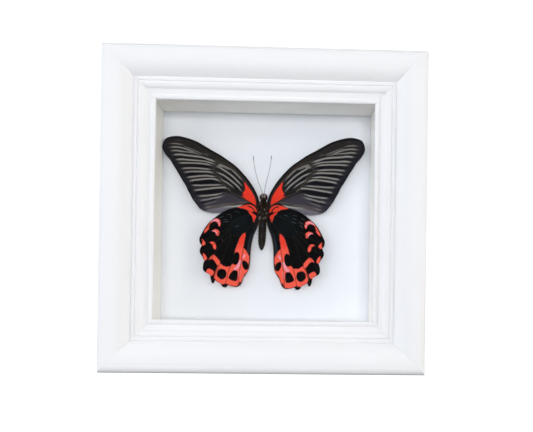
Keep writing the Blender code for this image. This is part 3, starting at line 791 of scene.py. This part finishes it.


# Butterfly wing scales: matt, like velvet, with a frayed edge to each marking, and a purple-grey sheen
# painted below the light line at the rear.
forewing_scales = scales("forewing_scales_grey_striped", "#19191E", [
    ("costa_mm", 12.0, 5.0, 0.8, 0.8, "#2C2826"),
    ("cell_mm", -0.3, 1.0, 0.6, 0.3, "#23211F"),
    ("dusk", 0.0, 1.0, 0.9, 0.15, "#3F3B44"),
    ("brown", 0.1, 1.0, 0.7, 0.2, "#5C534F"),
    # The purple-grey below the rear line is a painted sheen.
    ("violet_painted_sheen", 0.0, 1.0, 0.9, 0.3, "#6F6B76"),
    ("stripe", 0.1, 0.9, 0.7, 0.15, "#333231"),
    ("dark", 0.1, 0.9, 0.9, 0.2, "#0C0C12"),
    ("pale", 0.05, 1.0, 0.95, 0.25, "#96938D"),
    ("band", 0.05, 0.95, 0.95, 0.15, "#B2B0AA"),
    ("vein_mm", 0.5, 0.2, 0.8, 0.1, "#242223"),
    ("cell_edge_mm", 0.5, 0.2, 0.55, 0.1, "#4A4335"),
    ("margin_mm", 6.0, 1.5, 0.6, 0.8, "#23232B"),
    ("margin_mm", 1.1, 0.3, 0.75, 0.3, "#141316"),
    ("costa_mm", 1.9, 1.1, 0.9, 0.4, "#121112"),
    ("red_mm", -0.15, 0.15, 1.0, 0.5, "#EB3A27"),
])  # fmt: skip

for side, turn, breadth in (("left", 0.0, 1.0), ("right", -0.5, 1.035)):
    wing_piece("forewing", side, forewing_scales, sheet, fore_relief, fore_masks, turn, breadth)

# ---------------------------------------------------------------------------------------------
# Hindwings
# The hindwings lie over the rear edges of the forewings. They are black, with coral red arches round
# black spots along a scalloped margin, two red streaks at the rear and two red patches at the root.
# ---------------------------------------------------------------------------------------------

HIND_FRONT = [
    (2.4, 3.6), (4.4, 5.4), (7.0, 8.2), (9.3, 9.0), (12.9, 8.0), (17.7, 5.6), (22.4, 4.7), (25.8, 3.2),
    (28.6, 1.5), (31.5, -0.7), (34.3, -3.2), (36.6, -6.3), (38.0, -9.0), (39.3, -11.9),
]  # fmt: skip
HIND_OUTER = [
    (39.3, -11.9), (41.1, -12.9), (42.1, -14.6), (42.4, -16.4), (41.8, -18.8), (40.7, -20.3), (41.7, -22.2),
    (42.0, -24.1), (41.4, -25.9), (40.2, -27.5), (39.3, -29.4), (38.7, -30.3), (39.5, -32.5), (39.7, -35.4),
    (38.9, -37.4), (36.9, -38.6), (34.9, -40.0), (34.4, -42.8), (33.5, -45.2), (32.3, -45.2), (31.6, -43.5),
    (30.0, -44.4), (27.7, -45.7), (26.7, -47.4), (24.9, -48.2), (23.5, -47.5), (22.6, -46.6), (20.7, -47.3),
    (17.3, -47.8), (15.1, -46.8), (13.6, -44.5), (12.7, -41.6), (11.3, -39.6), (9.7, -37.4),
]  # fmt: skip
HIND_REAR = [
    (2.2, -2.0), (3.1, -5.8), (4.4, -9.2), (6.0, -13.0), (7.2, -18.0), (7.8, -22.5), (8.1, -27.0),
    (8.3, -31.5), (8.8, -34.8), (9.7, -37.4),
]  # fmt: skip
HIND_VEINS = [
    [(5.1, 1.4), (12.8, -0.2), (19.4, -3.7), (22.2, -8.5)],
    [(5.1, -1.5), (9.8, -8.3), (15.0, -12.3), (21.2, -13.3)],
    [(22.2, -8.5), (23.1, -10.5), (21.2, -11.9), (21.2, -13.3)],
    [(19.4, -3.7), (25.1, -3.8), (30.4, -4.8), (35.1, -7.3), (38.0, -8.8)],
    [(22.2, -8.5), (27.0, -10.5), (31.7, -13.0), (36.4, -15.5), (41.9, -17.3)],
    [(23.1, -10.5), (27.9, -14.4), (32.6, -18.8), (36.3, -22.2), (41.6, -24.0)],
    [(21.2, -11.9), (25.9, -17.2), (30.1, -23.1), (33.4, -27.9), (36.0, -30.8), (38.1, -34.2),
     (39.5, -35.7)],
    [(21.2, -13.3), (23.5, -20.1), (25.8, -26.8), (28.1, -31.7), (29.9, -35.5), (31.8, -40.4),
     (33.2, -44.7)],
    [(16.4, -16.1), (19.1, -25.8), (20.9, -32.5), (22.7, -37.8), (23.9, -43.1), (25.0, -47.0)],
    [(9.8, -8.3), (11.6, -14.2), (12.9, -21.8), (14.2, -30.0), (15.1, -36.3), (15.7, -42.0), (16.3, -47.1)],
]  # fmt: skip
HIND_RED = [
    [(17.5, 5.9), (14.9, 6.6), (11.5, 7.5), (8.8, 7.8), (6.5, 6.9), (5.0, 5.6), (4.3, 3.9), (2.9, 3.0),
     (3.0, 2.0), (4.6, 2.6), (5.8, 3.4), (7.4, 3.0), (9.5, 3.3), (11.5, 4.5), (14.8, 5.4)],
    [(9.6, 2.7), (8.1, 2.8), (6.4, 1.5), (4.9, 0.6), (4.6, -0.6), (5.2, -2.1), (6.0, -4.0), (6.5, -3.0),
     (7.4, 0.0), (8.4, 1.2)],
    [(39.3, -11.8), (38.5, -9.3), (36.3, -6.2), (34.4, -3.6), (31.9, -2.0), (29.4, -2.4), (28.4, -4.3),
     (28.6, -6.6), (29.5, -7.2), (30.2, -5.2), (31.6, -4.1), (33.3, -4.1), (35.2, -5.3), (36.0, -7.3),
     (36.3, -9.2), (38.2, -11.2)],
    [(34.4, -10.3), (31.8, -9.1), (29.6, -9.9), (29.1, -11.8), (29.8, -13.5), (31.1, -13.0), (31.7, -11.3),
     (33.2, -10.6)],
    [(40.6, -15.7), (38.9, -17.4), (38.1, -19.0), (39.7, -20.3), (40.7, -19.6), (40.3, -17.7)],
    [(35.7, -18.0), (33.3, -17.4), (31.7, -18.8), (31.0, -21.4), (31.8, -22.8), (33.0, -21.7),
     (33.4, -19.8), (34.7, -18.6)],
    [(39.7, -25.2), (38.3, -26.3), (37.1, -28.3), (37.4, -29.7), (38.6, -30.0), (39.6, -27.5)],
    [(35.7, -29.4), (34.3, -27.4), (32.6, -26.3), (30.4, -28.2), (28.4, -30.9), (29.1, -32.9),
     (30.4, -32.9), (31.5, -31.3), (33.2, -29.3), (34.6, -29.3)],
    [(37.3, -37.5), (36.4, -35.8), (34.8, -35.8), (32.4, -37.4), (32.4, -38.8), (33.9, -40.5),
     (35.6, -39.7), (37.0, -38.9)],
]  # fmt: skip
REAR_RED = [
    (12.0, -11.3), (11.7, -13.6), (12.4, -18.1), (12.8, -20.9), (11.5, -22.5), (10.1, -24.8), (9.0, -27.0),
    (8.9, -29.5), (9.2, -32.0), (9.6, -35.4), (9.8, -37.0), (11.3, -38.5), (12.8, -40.8), (13.9, -44.2),
    (14.7, -44.4), (15.1, -43.9), (15.9, -46.4), (17.9, -47.2), (20.7, -46.9), (23.0, -46.0), (23.9, -45.7),
    (24.6, -45.4), (26.3, -46.0), (29.1, -45.2), (31.6, -42.4), (32.0, -40.2), (30.9, -36.8), (29.3, -32.9),
    (27.9, -32.3), (25.9, -33.7), (23.7, -34.2), (21.7, -33.9), (20.5, -32.8), (19.4, -31.6), (19.2, -29.4),
    (19.2, -26.8), (18.6, -24.3), (18.3, -22.6), (16.6, -18.4), (15.0, -14.2),
]  # fmt: skip
# The black spots that lie in the rear red.
REAR_SPOTS = [
    [(29.3, -36.4), (27.5, -35.6), (25.0, -36.3), (24.0, -38.1), (24.2, -40.7), (25.5, -42.2),
     (27.4, -42.7), (29.2, -41.6), (30.3, -39.9), (30.1, -37.8)],
    [(19.6, -36.7), (17.5, -36.5), (16.5, -37.8), (16.4, -41.1), (17.1, -43.4), (18.5, -43.7),
     (20.7, -43.1), (22.4, -42.0), (22.2, -40.4), (21.1, -38.4)],
    [(18.2, -24.6), (16.5, -24.3), (15.4, -26.0), (15.5, -28.8), (16.2, -31.3), (17.5, -32.7),
     (19.2, -32.5), (20.0, -31.1), (19.8, -28.3), (19.3, -26.0)],
    [(12.9, -29.8), (11.2, -30.3), (9.6, -32.0), (9.4, -34.4), (10.2, -36.0), (11.9, -35.9), (13.2, -33.8),
     (13.7, -31.3)],
]  # fmt: skip
# The black line that crosses the red at the root.
DARK_LINE = [(10.3, 6.8), (8.1, 6.1), (6.7, 4.9), (6.0, 3.7), (6.0, 2.9)]
# Where pink-lilac highlights are painted on the red, as streaks with a half-width in mm, and streaks of
# rubbed scales with a pale glint painted on them.
PINK_HIGHLIGHT_STREAKS = [
    ([(15.0, -30.8), (15.9, -33.0), (17.0, -34.8), (18.2, -35.6)], 1.2),
    ([(12.7, -27.8), (12.3, -27.0), (11.9, -26.2)], 0.8),
    ([(34.4, -3.9), (33.0, -3.3), (31.1, -2.8), (29.9, -3.9), (29.3, -5.5)], 0.7),
    ([(33.6, -10.2), (31.7, -10.8), (30.8, -12.2)], 0.5),
    ([(14.9, -36.5), (15.3, -38.5), (15.6, -40.5)], 0.4),
]  # fmt: skip
# Streaks where the black scales are rubbed, painted pale grey for the glint they catch: partly wear, partly
# a painted glint.
RUBBED_SCALES_AND_PAINTED_GLINTS = {
    "left": [
        [(21.5, 0.7), (21.2, -0.7), (20.8, -2.0)], [(27.5, -2.3), (25.0, -2.7), (22.6, -2.4)],
        [(24.8, 0.4), (22.6, 1.0), (21.4, 0.4)], [(26.5, -4.4), (24.8, -4.1), (23.2, -3.6)],
        [(19.9, 3.5), (17.2, 2.9), (14.7, 1.8)], [(18.9, -7.5), (17.3, -6.9), (15.8, -6.2)],
        [(29.0, -1.2), (27.6, -0.9), (26.6, -0.2)], [(28.6, -14.8), (27.2, -15.9), (26.4, -17.0)],
    ],
    "right": [
        [(12.5, 1.7), (15.5, 1.1), (18.5, 0.2)], [(18.9, -0.1), (21.6, -1.0), (24.4, -2.2)],
        [(23.2, -1.6), (26.0, -3.5), (28.7, -5.5)], [(24.4, 0.3), (26.8, -0.7), (29.0, -2.4)],
        [(18.0, -2.0), (21.0, -3.3), (23.8, -4.6)], [(25.1, -4.9), (26.3, -5.8), (27.5, -7.0)],
        [(19.1, 1.4), (21.9, 1.2), (24.4, 0.6)],
    ],
}  # fmt: skip

sheet = patch(HIND_FRONT, HIND_OUTER, HIND_REAR, 150, 200)
margin = distance(sheet, curve(HIND_OUTER, 160))
inner_edge = distance(sheet, curve(HIND_REAR, 60))
vein = nearest(sheet, HIND_VEINS)
red = np.maximum.reduce([inside(sheet, outline) for outline in HIND_RED])
red = np.minimum(red, distance(sheet, curve(DARK_LINE, 16)) - 0.4)
rear_red = inside(sheet, REAR_RED)
spots = np.maximum.reduce([inside(sheet, outline) for outline in REAR_SPOTS])
all_red = np.maximum(red, rear_red)
pink_painted_highlight = np.maximum.reduce([bell(distance(sheet, curve(line, 20)), width) for line, width in PINK_HIGHLIGHT_STREAKS])
out, up = sheet[..., 0], sheet[..., 1]
hind_masks = {
    "vein_mm": vein,
    "inner_mm": inner_edge,
    "bluish": bell(inner_edge - 1.9, 0.7) * step(-up, 8, 16) * (1 - step(-up, 26, 34)),
    # Painted sheen: a broad blue-green patch over the middle of each hindwing.
    "gloss": bell(np.linalg.norm((sheet - np.array([15.0, -5.5])) * [0.8, 1.0], axis=-1), 8.0),
    "margin_mm": margin,
    "red_mm": all_red,
    "root_red": (1 - step(out, 16, 26)) * step(up, -27, -14) * step(all_red, -0.1, 0.3),
    # Pink-lilac highlights painted on the red along the streaks.
    "pink_painted_highlight": pink_painted_highlight * step(all_red, -0.2, 0.2),
    "spot_mm": spots,
    "red_vein": bell(vein, 0.3) * step(all_red, -0.2, 0.2) * (1 - step(up, -3, 0)),
}
hind_relief = vein_relief(vein)

# Butterfly wing scales: deep black, with a blue-green sheen painted as a patch of colour, and coral red
# with pink-lilac highlights painted on it.
hindwing_scales = scales("hindwing_scales_black_and_red", "#08080A", [
    # A painted sheen, not a gloss: the blue-green patch is colour.
    ("gloss", 0.0, 1.0, 0.55, 0.6, "#0D181D"),
    ("inner_mm", 4.0, 1.2, 0.8, 0.5, "#191D22"),
    ("bluish", 0.1, 1.0, 0.6, 0.3, "#2E3542"),
    ("vein_mm", 0.36, 0.1, 0.7, 0.1, "#26281F"),
    ("inner_mm", 0.8, 0.3, 0.8, 0.2, "#554437"),
    # Rubbed scales with a painted glint: pale grey streaks near the front edge.
    ("scratch", 0.4, 1.0, 0.26, 1.1, "#8B929A"),
    ("red_mm", -0.2, 0.2, 1.0, 0.9, "#F65E4B"),
    ("root_red", 0.1, 0.9, 0.9, 0.0, "#EC3C2A"),
    # Painted highlight: pink-lilac along the streaks in the red.
    ("pink_painted_highlight", 0.15, 0.9, 0.85, 0.5, "#F0A3B6"),
    ("red_vein", 0.2, 0.9, 0.8, 0.1, "#6B2520"),
    ("spot_mm", -0.2, 0.2, 1.0, 0.7, "#0A090B"),
    ("margin_mm", 0.35, 0.1, 0.6, 0.2, "#1A1213"),
])  # fmt: skip

for side, turn, breadth in (("left", 0.0, 1.0), ("right", -1.2, 1.012)):
    # The scratch mask marks rubbed scales and the glint painted on them, along each side's own streaks.
    hind_masks["scratch"] = np.zeros_like(vein)
    for line in RUBBED_SCALES_AND_PAINTED_GLINTS[side]:
        faded = 1 - step(np.linalg.norm(sheet - np.array(line[1]), axis=-1), 0.8, 3.0)
        scratch = bell(distance(sheet, curve(line, 12)), 0.3) * faded
        hind_masks["scratch"] = np.maximum(hind_masks["scratch"], scratch)
    wing_piece("hindwing", side, hindwing_scales, sheet, hind_relief, hind_masks, turn, breadth)

# ---------------------------------------------------------------------------------------------
# Body
# The dried body lies belly to the front: head with two eyes, palps and a coiled tongue, a hairy
# thorax with three pairs of folded legs, and an abdomen of nine rings that narrows to its tip.
# ---------------------------------------------------------------------------------------------

body_y = (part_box("body")[0].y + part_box("body")[1].y) / 2
BODY_TILT = 1.6
BODY_PROFILE = [
    (15.0, 0.0), (14.8, 1.1), (14.0, 2.0), (12.5, 2.5), (11.1, 2.2), (10.2, 1.7), (9.3, 2.3), (7.5, 3.2),
    (4.8, 3.9), (1.8, 4.0), (-0.7, 3.5), (-2.6, 2.8), (-5.0, 2.55), (-9.0, 2.65), (-13.5, 2.65),
    (-17.5, 2.45), (-20.6, 1.75), (-22.4, 0.85), (-23.0, 0.0),
]  # fmt: skip
# Tufts of pale scales at the leg and wing roots: right and up in mm, and a half-width.
PALE_TUFTS = [
    ((-2.3, 2.4), 0.6), ((-1.6, -0.9), 0.5), ((-2.4, -2.0), 0.6), ((2.5, 1.7), 0.6), ((1.6, -1.2), 0.55),
    ((0.5, -1.9), 0.4), ((-1.9, 8.0), 0.55), ((-1.2, 5.4), 0.35), ((1.0, 4.1), 0.4), ((2.2, 9.0), 0.5),
    ((2.8, 5.3), 0.4), ((-0.4, 13.3), 0.6), ((0.9, 11.9), 0.45), ((-1.3, 11.4), 0.4), ((-0.2, 1.0), 0.35),
]  # fmt: skip


def lay_body(points):
    """Body millimetres, which are right, back and up from the body's middle, to the frame's metres."""
    angle = math.radians(BODY_TILT)
    right, back, up = points[..., 0], points[..., 1], points[..., 2]
    x = right * math.cos(angle) + up * math.sin(angle)
    z = up * math.cos(angle) - right * math.sin(angle)
    return np.stack([axis_x + x * MM, body_y + back * MM, centre_z + z * MM], -1)


def body_skin(way, around):
    """The body's skin at a share of the way from head to tail and an angle round it, 0 towards the glass.

    The radius is the profile's, drawn in at the ring joints of the abdomen, with a keel under the
    belly, side folds, and six swellings where the legs start.
    """
    profile = curve(BODY_PROFILE, 800)
    share = np.linspace(0, 1, 800)
    up = np.interp(way, share, profile[:, 0])
    radius = np.interp(way, share, profile[:, 1])
    ring = (-up - 2.6) / 2.2
    abdomen = step(-up, 2.0, 4.0)
    joint = bell(ring - np.round(ring), 0.09) * abdomen
    lap = (ring - np.floor(ring)) * abdomen
    fold = bell(np.abs(around) - 1.9, 0.14) * abdomen
    keel = bell(around, 0.35) * abdomen
    radius = radius * (0.97 - 0.1 * joint + 0.05 * (1 - lap) * abdomen - 0.06 * fold + 0.03 * keel)
    for height in LEG_HEIGHTS:
        near = np.exp(-(((up - height) / 1.1) ** 2) - ((np.abs(around) - 0.55) / 0.3) ** 2)
        radius = radius * (1 + 0.1 * near)
    return np.stack([radius * np.sin(around), -0.86 * radius * np.cos(around), up], -1)


LEG_HEIGHTS = (8.6, 5.6, 2.4)
rows = np.linspace(0, 1, 260)[:, None]
around = np.linspace(-math.pi, math.pi, 72, endpoint=False)[None]
skin = body_skin(rows + 0 * around, around + 0 * rows)


def tufted(points):
    """How much of the pale tufts' scales lies on a point: a bell curve about each, on the belly side."""
    share = [bell(np.hypot(points[..., 0] - at[0], points[..., 2] - at[1]), size) for at, size in PALE_TUFTS]
    return np.maximum.reduce(share) * (points[..., 1] < 0.5)


# Chitin under short scales: brown-black, with a low gloss, paler and greyer on the head, and a bluish-grey
# highlight painted along the middle of the belly.
chitin, tree, shader = new_material("body_chitin_and_scales")
where = add_node(tree, "TexCoord").outputs["Object"]
tufts = add_node(tree, "TexNoise", {"Vector": where, "Scale": 1 / (0.9 * MM), "Detail": 4.0})
height_mm, painted_sheen_mask, tuft_mask = (
    add_node(tree, "Attribute", attribute_name=name).outputs["Fac"] for name in ("height_mm", "keel", "tuft")
)
head = {"Value": height_mm, "From Min": 10.5, "From Max": 12.5}
on_head = add_node(tree, "MapRange", head, interpolation_type="SMOOTHSTEP")
trunk = add_node(tree, "Mix", {0: tufts, 6: linear("#0B0907"), 7: linear("#2E2218")}, data_type="RGBA")
whole = add_node(tree, "Mix", {0: on_head, 6: trunk, 7: linear("#2C2526")}, data_type="RGBA")
# Painted highlight: bluish grey along the belly's middle, where the keel attribute says, broken by the tuft
# noise.
painted_sheen_share = add_node(tree, "Math", {0: painted_sheen_mask, 1: tufts}, operation="MULTIPLY")
with_painted_sheen = add_node(tree, "Mix", {0: painted_sheen_share, 6: whole, 7: linear("#383C48")}, data_type="RGBA")
broken = add_node(tree, "MapRange", {"Value": tufts, "From Min": 0.35, "From Max": 0.6})
flecked = add_node(tree, "Math", {0: tuft_mask, 1: broken}, operation="MULTIPLY")
finished = add_node(tree, "Mix", {0: flecked, 6: with_painted_sheen, 7: linear("#C6BBB0")}, data_type="RGBA")
bump = add_node(tree, "Bump", {"Height": tufts, "Strength": 0.5, "Distance": 0.15 * MM})
connect(tree, shader, {"Base Color": finished, "Normal": bump})
connect(tree, shader, {"Roughness": 0.35, "Specular IOR Level": 0.14})

# Where the painted highlight lies: a bell across the middle of the abdomen's belly, rising and falling along
# it.
keel = bell(skin[..., 0], 0.75) * (skin[..., 1] < 0) * step(-skin[..., 2], 3, 6)
keel = keel * (0.35 + 0.65 * np.cos((skin[..., 2] + 13) / 2.2) ** 2)
faces = grid_faces(*skin.shape[:2], True)
mesh = build_mesh(lay_body(skin), faces, height_mm=skin[..., 2], tuft=tufted(skin), keel=keel)
add_piece("head_thorax_and_abdomen", mesh, chitin, "body_scales", "body")


def tube(path, radius, sides=10):
    """A circle carried along a path: its plane is square to the path, and its ends are closed."""
    path = np.asarray(path, float)
    tangent = np.gradient(path, axis=0)
    tangent /= np.linalg.norm(tangent, axis=1, keepdims=True)
    level = np.where(np.abs(tangent[:, 1:2]) > 0.9, [[1.0, 0.0, 0.0]], [[0.0, 1.0, 0.0]])
    side = np.cross(tangent, level)
    side /= np.linalg.norm(side, axis=1, keepdims=True)
    rise = np.cross(side, tangent)
    spin = np.linspace(0, 2 * math.pi, sides, endpoint=False)[None, :, None]
    ring = np.cos(spin) * side[:, None] + np.sin(spin) * rise[:, None]
    points = path[:, None] + np.broadcast_to(radius, len(path))[:, None, None] * ring
    faces = [list(face) for face in grid_faces(len(path), sides, True)]
    faces += [list(range(sides)), list(range((len(path) - 1) * sides, len(path) * sides))]
    return points.reshape(-1, 3), faces


def ball(middle, half, rows=24, columns=32):
    """An ellipsoid: half-widths times the sphere's sines and cosines of two angles."""
    down = np.linspace(0, math.pi, rows)[:, None]
    turn = np.linspace(0, 2 * math.pi, columns, endpoint=False)[None]
    unit = np.stack([np.sin(down) * np.cos(turn), np.sin(down) * np.sin(turn), np.cos(down) + 0 * turn], -1)
    points = np.asarray(middle) + unit * np.asarray(half)
    return points.reshape(-1, 3), [list(face) for face in grid_faces(rows, columns, True)]


def together(shapes):
    """Several shapes' points and faces as one set."""
    points, faces, start = [], [], 0
    for shape_points, shape_faces in shapes:
        points.append(shape_points)
        faces += [[corner + start for corner in face] for face in shape_faces]
        start += len(shape_points)
    return np.concatenate(points), faces


# Compound eyes: smooth dark brown domes with a wet gloss and a fine honeycomb.
eye_chitin = mottled("eye_chitin", ("TexVoronoi", 0.16, 0.0), ("#3A2C26", "#1B1412"), 0.22, (0.3, 0.03))
points, faces = together([ball((side * 1.65, -0.9, 12.5), (1.05, 1.25, 1.35)) for side in (-1, 1)])
add_piece("compound_eyes", build_mesh(lay_body(points), faces), eye_chitin, "body_scales")

# The tongue lies coiled between two short upturned palps.
coil = np.linspace(0, 5.2 * math.pi, 120)
coil_radius = 0.18 + 0.92 * coil / coil[-1]
turns = coil_radius[:, None] * np.stack([0 * coil, np.cos(coil), np.sin(coil)], 1)
mouth = [tube((0, -2.75, 11.7) + turns * (1, -0.6, 1), 0.16, 8)]
PALP = np.array([(0.75, -1.9, 10.7), (0.95, -2.8, 11.7), (0.8, -3.0, 12.9), (0.5, -2.4, 14.0)])
palp_radius = 0.42 * np.sin(np.linspace(0.35, 2.9, 24)) ** 0.6
mouth += [tube(curve(PALP * (side, 1, 1), 24), palp_radius, 12) for side in (-1, 1)]
points, faces = together(mouth)
mesh = build_mesh(lay_body(points), faces, tuft=step(points[:, 2], 11.4, 13.2))
add_piece("palps_and_tongue", mesh, chitin, "body_scales")

# Each leg folds: thigh out and down, shin back towards the middle, and the foot along the belly.
LEG_SHARES = [0, 0.12, 0.35, 0.42, 0.72, 1.0]
leg_radius = np.interp(np.linspace(0, 1, 60), LEG_SHARES, [0.3, 0.34, 0.26, 0.2, 0.15, 0.09])
legs = []
for height, spread, drop in zip(LEG_HEIGHTS, (2.3, 2.9, 3.0), (-2.2, -3.2, -4.6)):
    thigh = [(1.2, -2.9, height), (spread * 0.75, -3.6, height + 0.5), (spread, -3.4, height - 0.6)]
    shin = [(spread * 0.72, -3.9, height + drop * 0.45), (0.7, -4.0, height + drop)]
    foot = [(0.45, -3.7, height + drop - 1.6), (0.7, -3.3, height + drop - 2.8)]
    joints = np.array(thigh + shin + foot)
    legs += [tube(curve(joints * (side, 1, 1), 60), leg_radius, 8) for side in (-1, 1)]
points, faces = together(legs)
add_piece("folded_legs", build_mesh(lay_body(points), faces), chitin, "body_scales")

# Hair: fine dark and buff bristles, each a narrow three-sided spike that leans towards the tail.
draw = np.random.default_rng(7)
HAIRS = 2200
way = draw.uniform(0.03, 0.5, HAIRS)
turn = draw.uniform(-math.pi, math.pi, HAIRS)
foot = body_skin(way, turn)
past = body_skin(way + 0.004, turn)
beside = body_skin(way, turn + 0.02)
normal = np.cross(past - foot, beside - foot)
normal /= np.linalg.norm(normal, axis=1, keepdims=True)
outward = np.sign((normal[:, :2] * foot[:, :2]).sum(1, keepdims=True))
lean = normal * outward * 0.75 + np.array([0, 0, -0.75]) + draw.normal(0, 0.3, (HAIRS, 3))
lean /= np.linalg.norm(lean, axis=1, keepdims=True)
length = draw.uniform(0.45, 1.1, HAIRS)[:, None]
across = np.cross(lean, [0.3, 0.9, 0.1])
across /= np.linalg.norm(across, axis=1, keepdims=True)
over = np.cross(lean, across)
thirds = np.radians([0, 120, 240])
thick = 0.055
base = foot[:, None] - 0.1 * lean[:, None] + thick * (
    np.cos(thirds)[None, :, None] * across[:, None] + np.sin(thirds)[None, :, None] * over[:, None]
)  # fmt: skip
spikes = np.concatenate([base, (foot + lean * length)[:, None]], 1).reshape(-1, 3)
corner = np.arange(HAIRS)[:, None, None] * 4
spike_faces = (corner + np.array([[0, 1, 3], [1, 2, 3], [2, 0, 3], [0, 2, 1]])[None]).reshape(-1, 3)
buff_share = np.repeat(draw.uniform(0, 0.85, HAIRS) + 0.6 * tufted(foot), 4)

# Bristle: dark brown horn, with some buff ones among them.
bristle, tree, shader = new_material("thorax_bristle")
buff = add_node(tree, "Attribute", attribute_name="buff").outputs["Fac"]
mostly_dark = add_node(tree, "MapRange", {"Value": buff, "From Min": 0.8, "From Max": 0.95})
tint = add_node(tree, "Mix", {0: mostly_dark, 6: linear("#15110D"), 7: linear("#9D9183")}, data_type="RGBA")
connect(tree, shader, {"Base Color": tint, "Roughness": 0.5, "Specular IOR Level": 0.3})
mesh = build_mesh(lay_body(spikes), spike_faces, buff=buff_share)
add_piece("thorax_hair", mesh, bristle, "body_scales")

# ---------------------------------------------------------------------------------------------
# Antennae
# Two jointed feelers of black chitin, a quarter of a millimetre thick at the middle, each ending in
# a slender club.
# ---------------------------------------------------------------------------------------------

FEELERS = {
    "left": [(-0.1, 14.6), (-0.7, 16.2), (-1.8, 19.0), (-3.2, 22.4), (-4.9, 27.9), (-6.3, 34.2),
             (-7.0, 40.4)],
    "right": [(0.7, 14.6), (0.9, 16.2), (1.3, 19.6), (2.0, 23.2), (3.4, 28.9), (4.6, 34.8), (5.2, 41.0)],
}  # fmt: skip

# Chitin: black-brown horn with a low sheen.
horn = mottled("antenna_chitin_black", ("TexNoise", 0.8, 3.0), ("#4A4754", "#6F6C7B"), 0.45)

for side, route in FEELERS.items():
    flat = curve(route, 420)
    path = np.stack([axis_x + flat[:, 0] * MM, np.full(420, body_y), centre_z + flat[:, 1] * MM], 1)
    share = np.linspace(0, 1, 420)
    joints = 1 + 0.07 * np.cos(share * 2 * math.pi * 48)
    club = 0.14 * bell(share - 0.94, 0.045)
    radius = (0.14 - 0.02 * share + club) * joints * step(share, -0.02, 0.02) * np.sqrt(1.0001 - share**60)
    mesh = build_mesh(*tube(path, radius * MM, 12))
    add_piece(f"jointed_antenna_{side}", mesh, horn, "antenna_chitin", f"antenna_{side}")

# ---------------------------------------------------------------------------------------------
# Specimen pad
# A small block of white foam, glued to the card. The thorax is glued to it, which holds the butterfly
# clear of the card.
# ---------------------------------------------------------------------------------------------

# Closed-cell polyethylene foam: soft white with small bubbles.
foam = mottled(
    "white_polyethylene_foam", ("TexVoronoi", 0.5, 0.0), ("#E9E9E4", "#F5F5F1"), 0.9, (0.6, 0.15)
)
pad = eased("specimen_pad", "foam_specimen_pad", 0.35, foam, "foam")
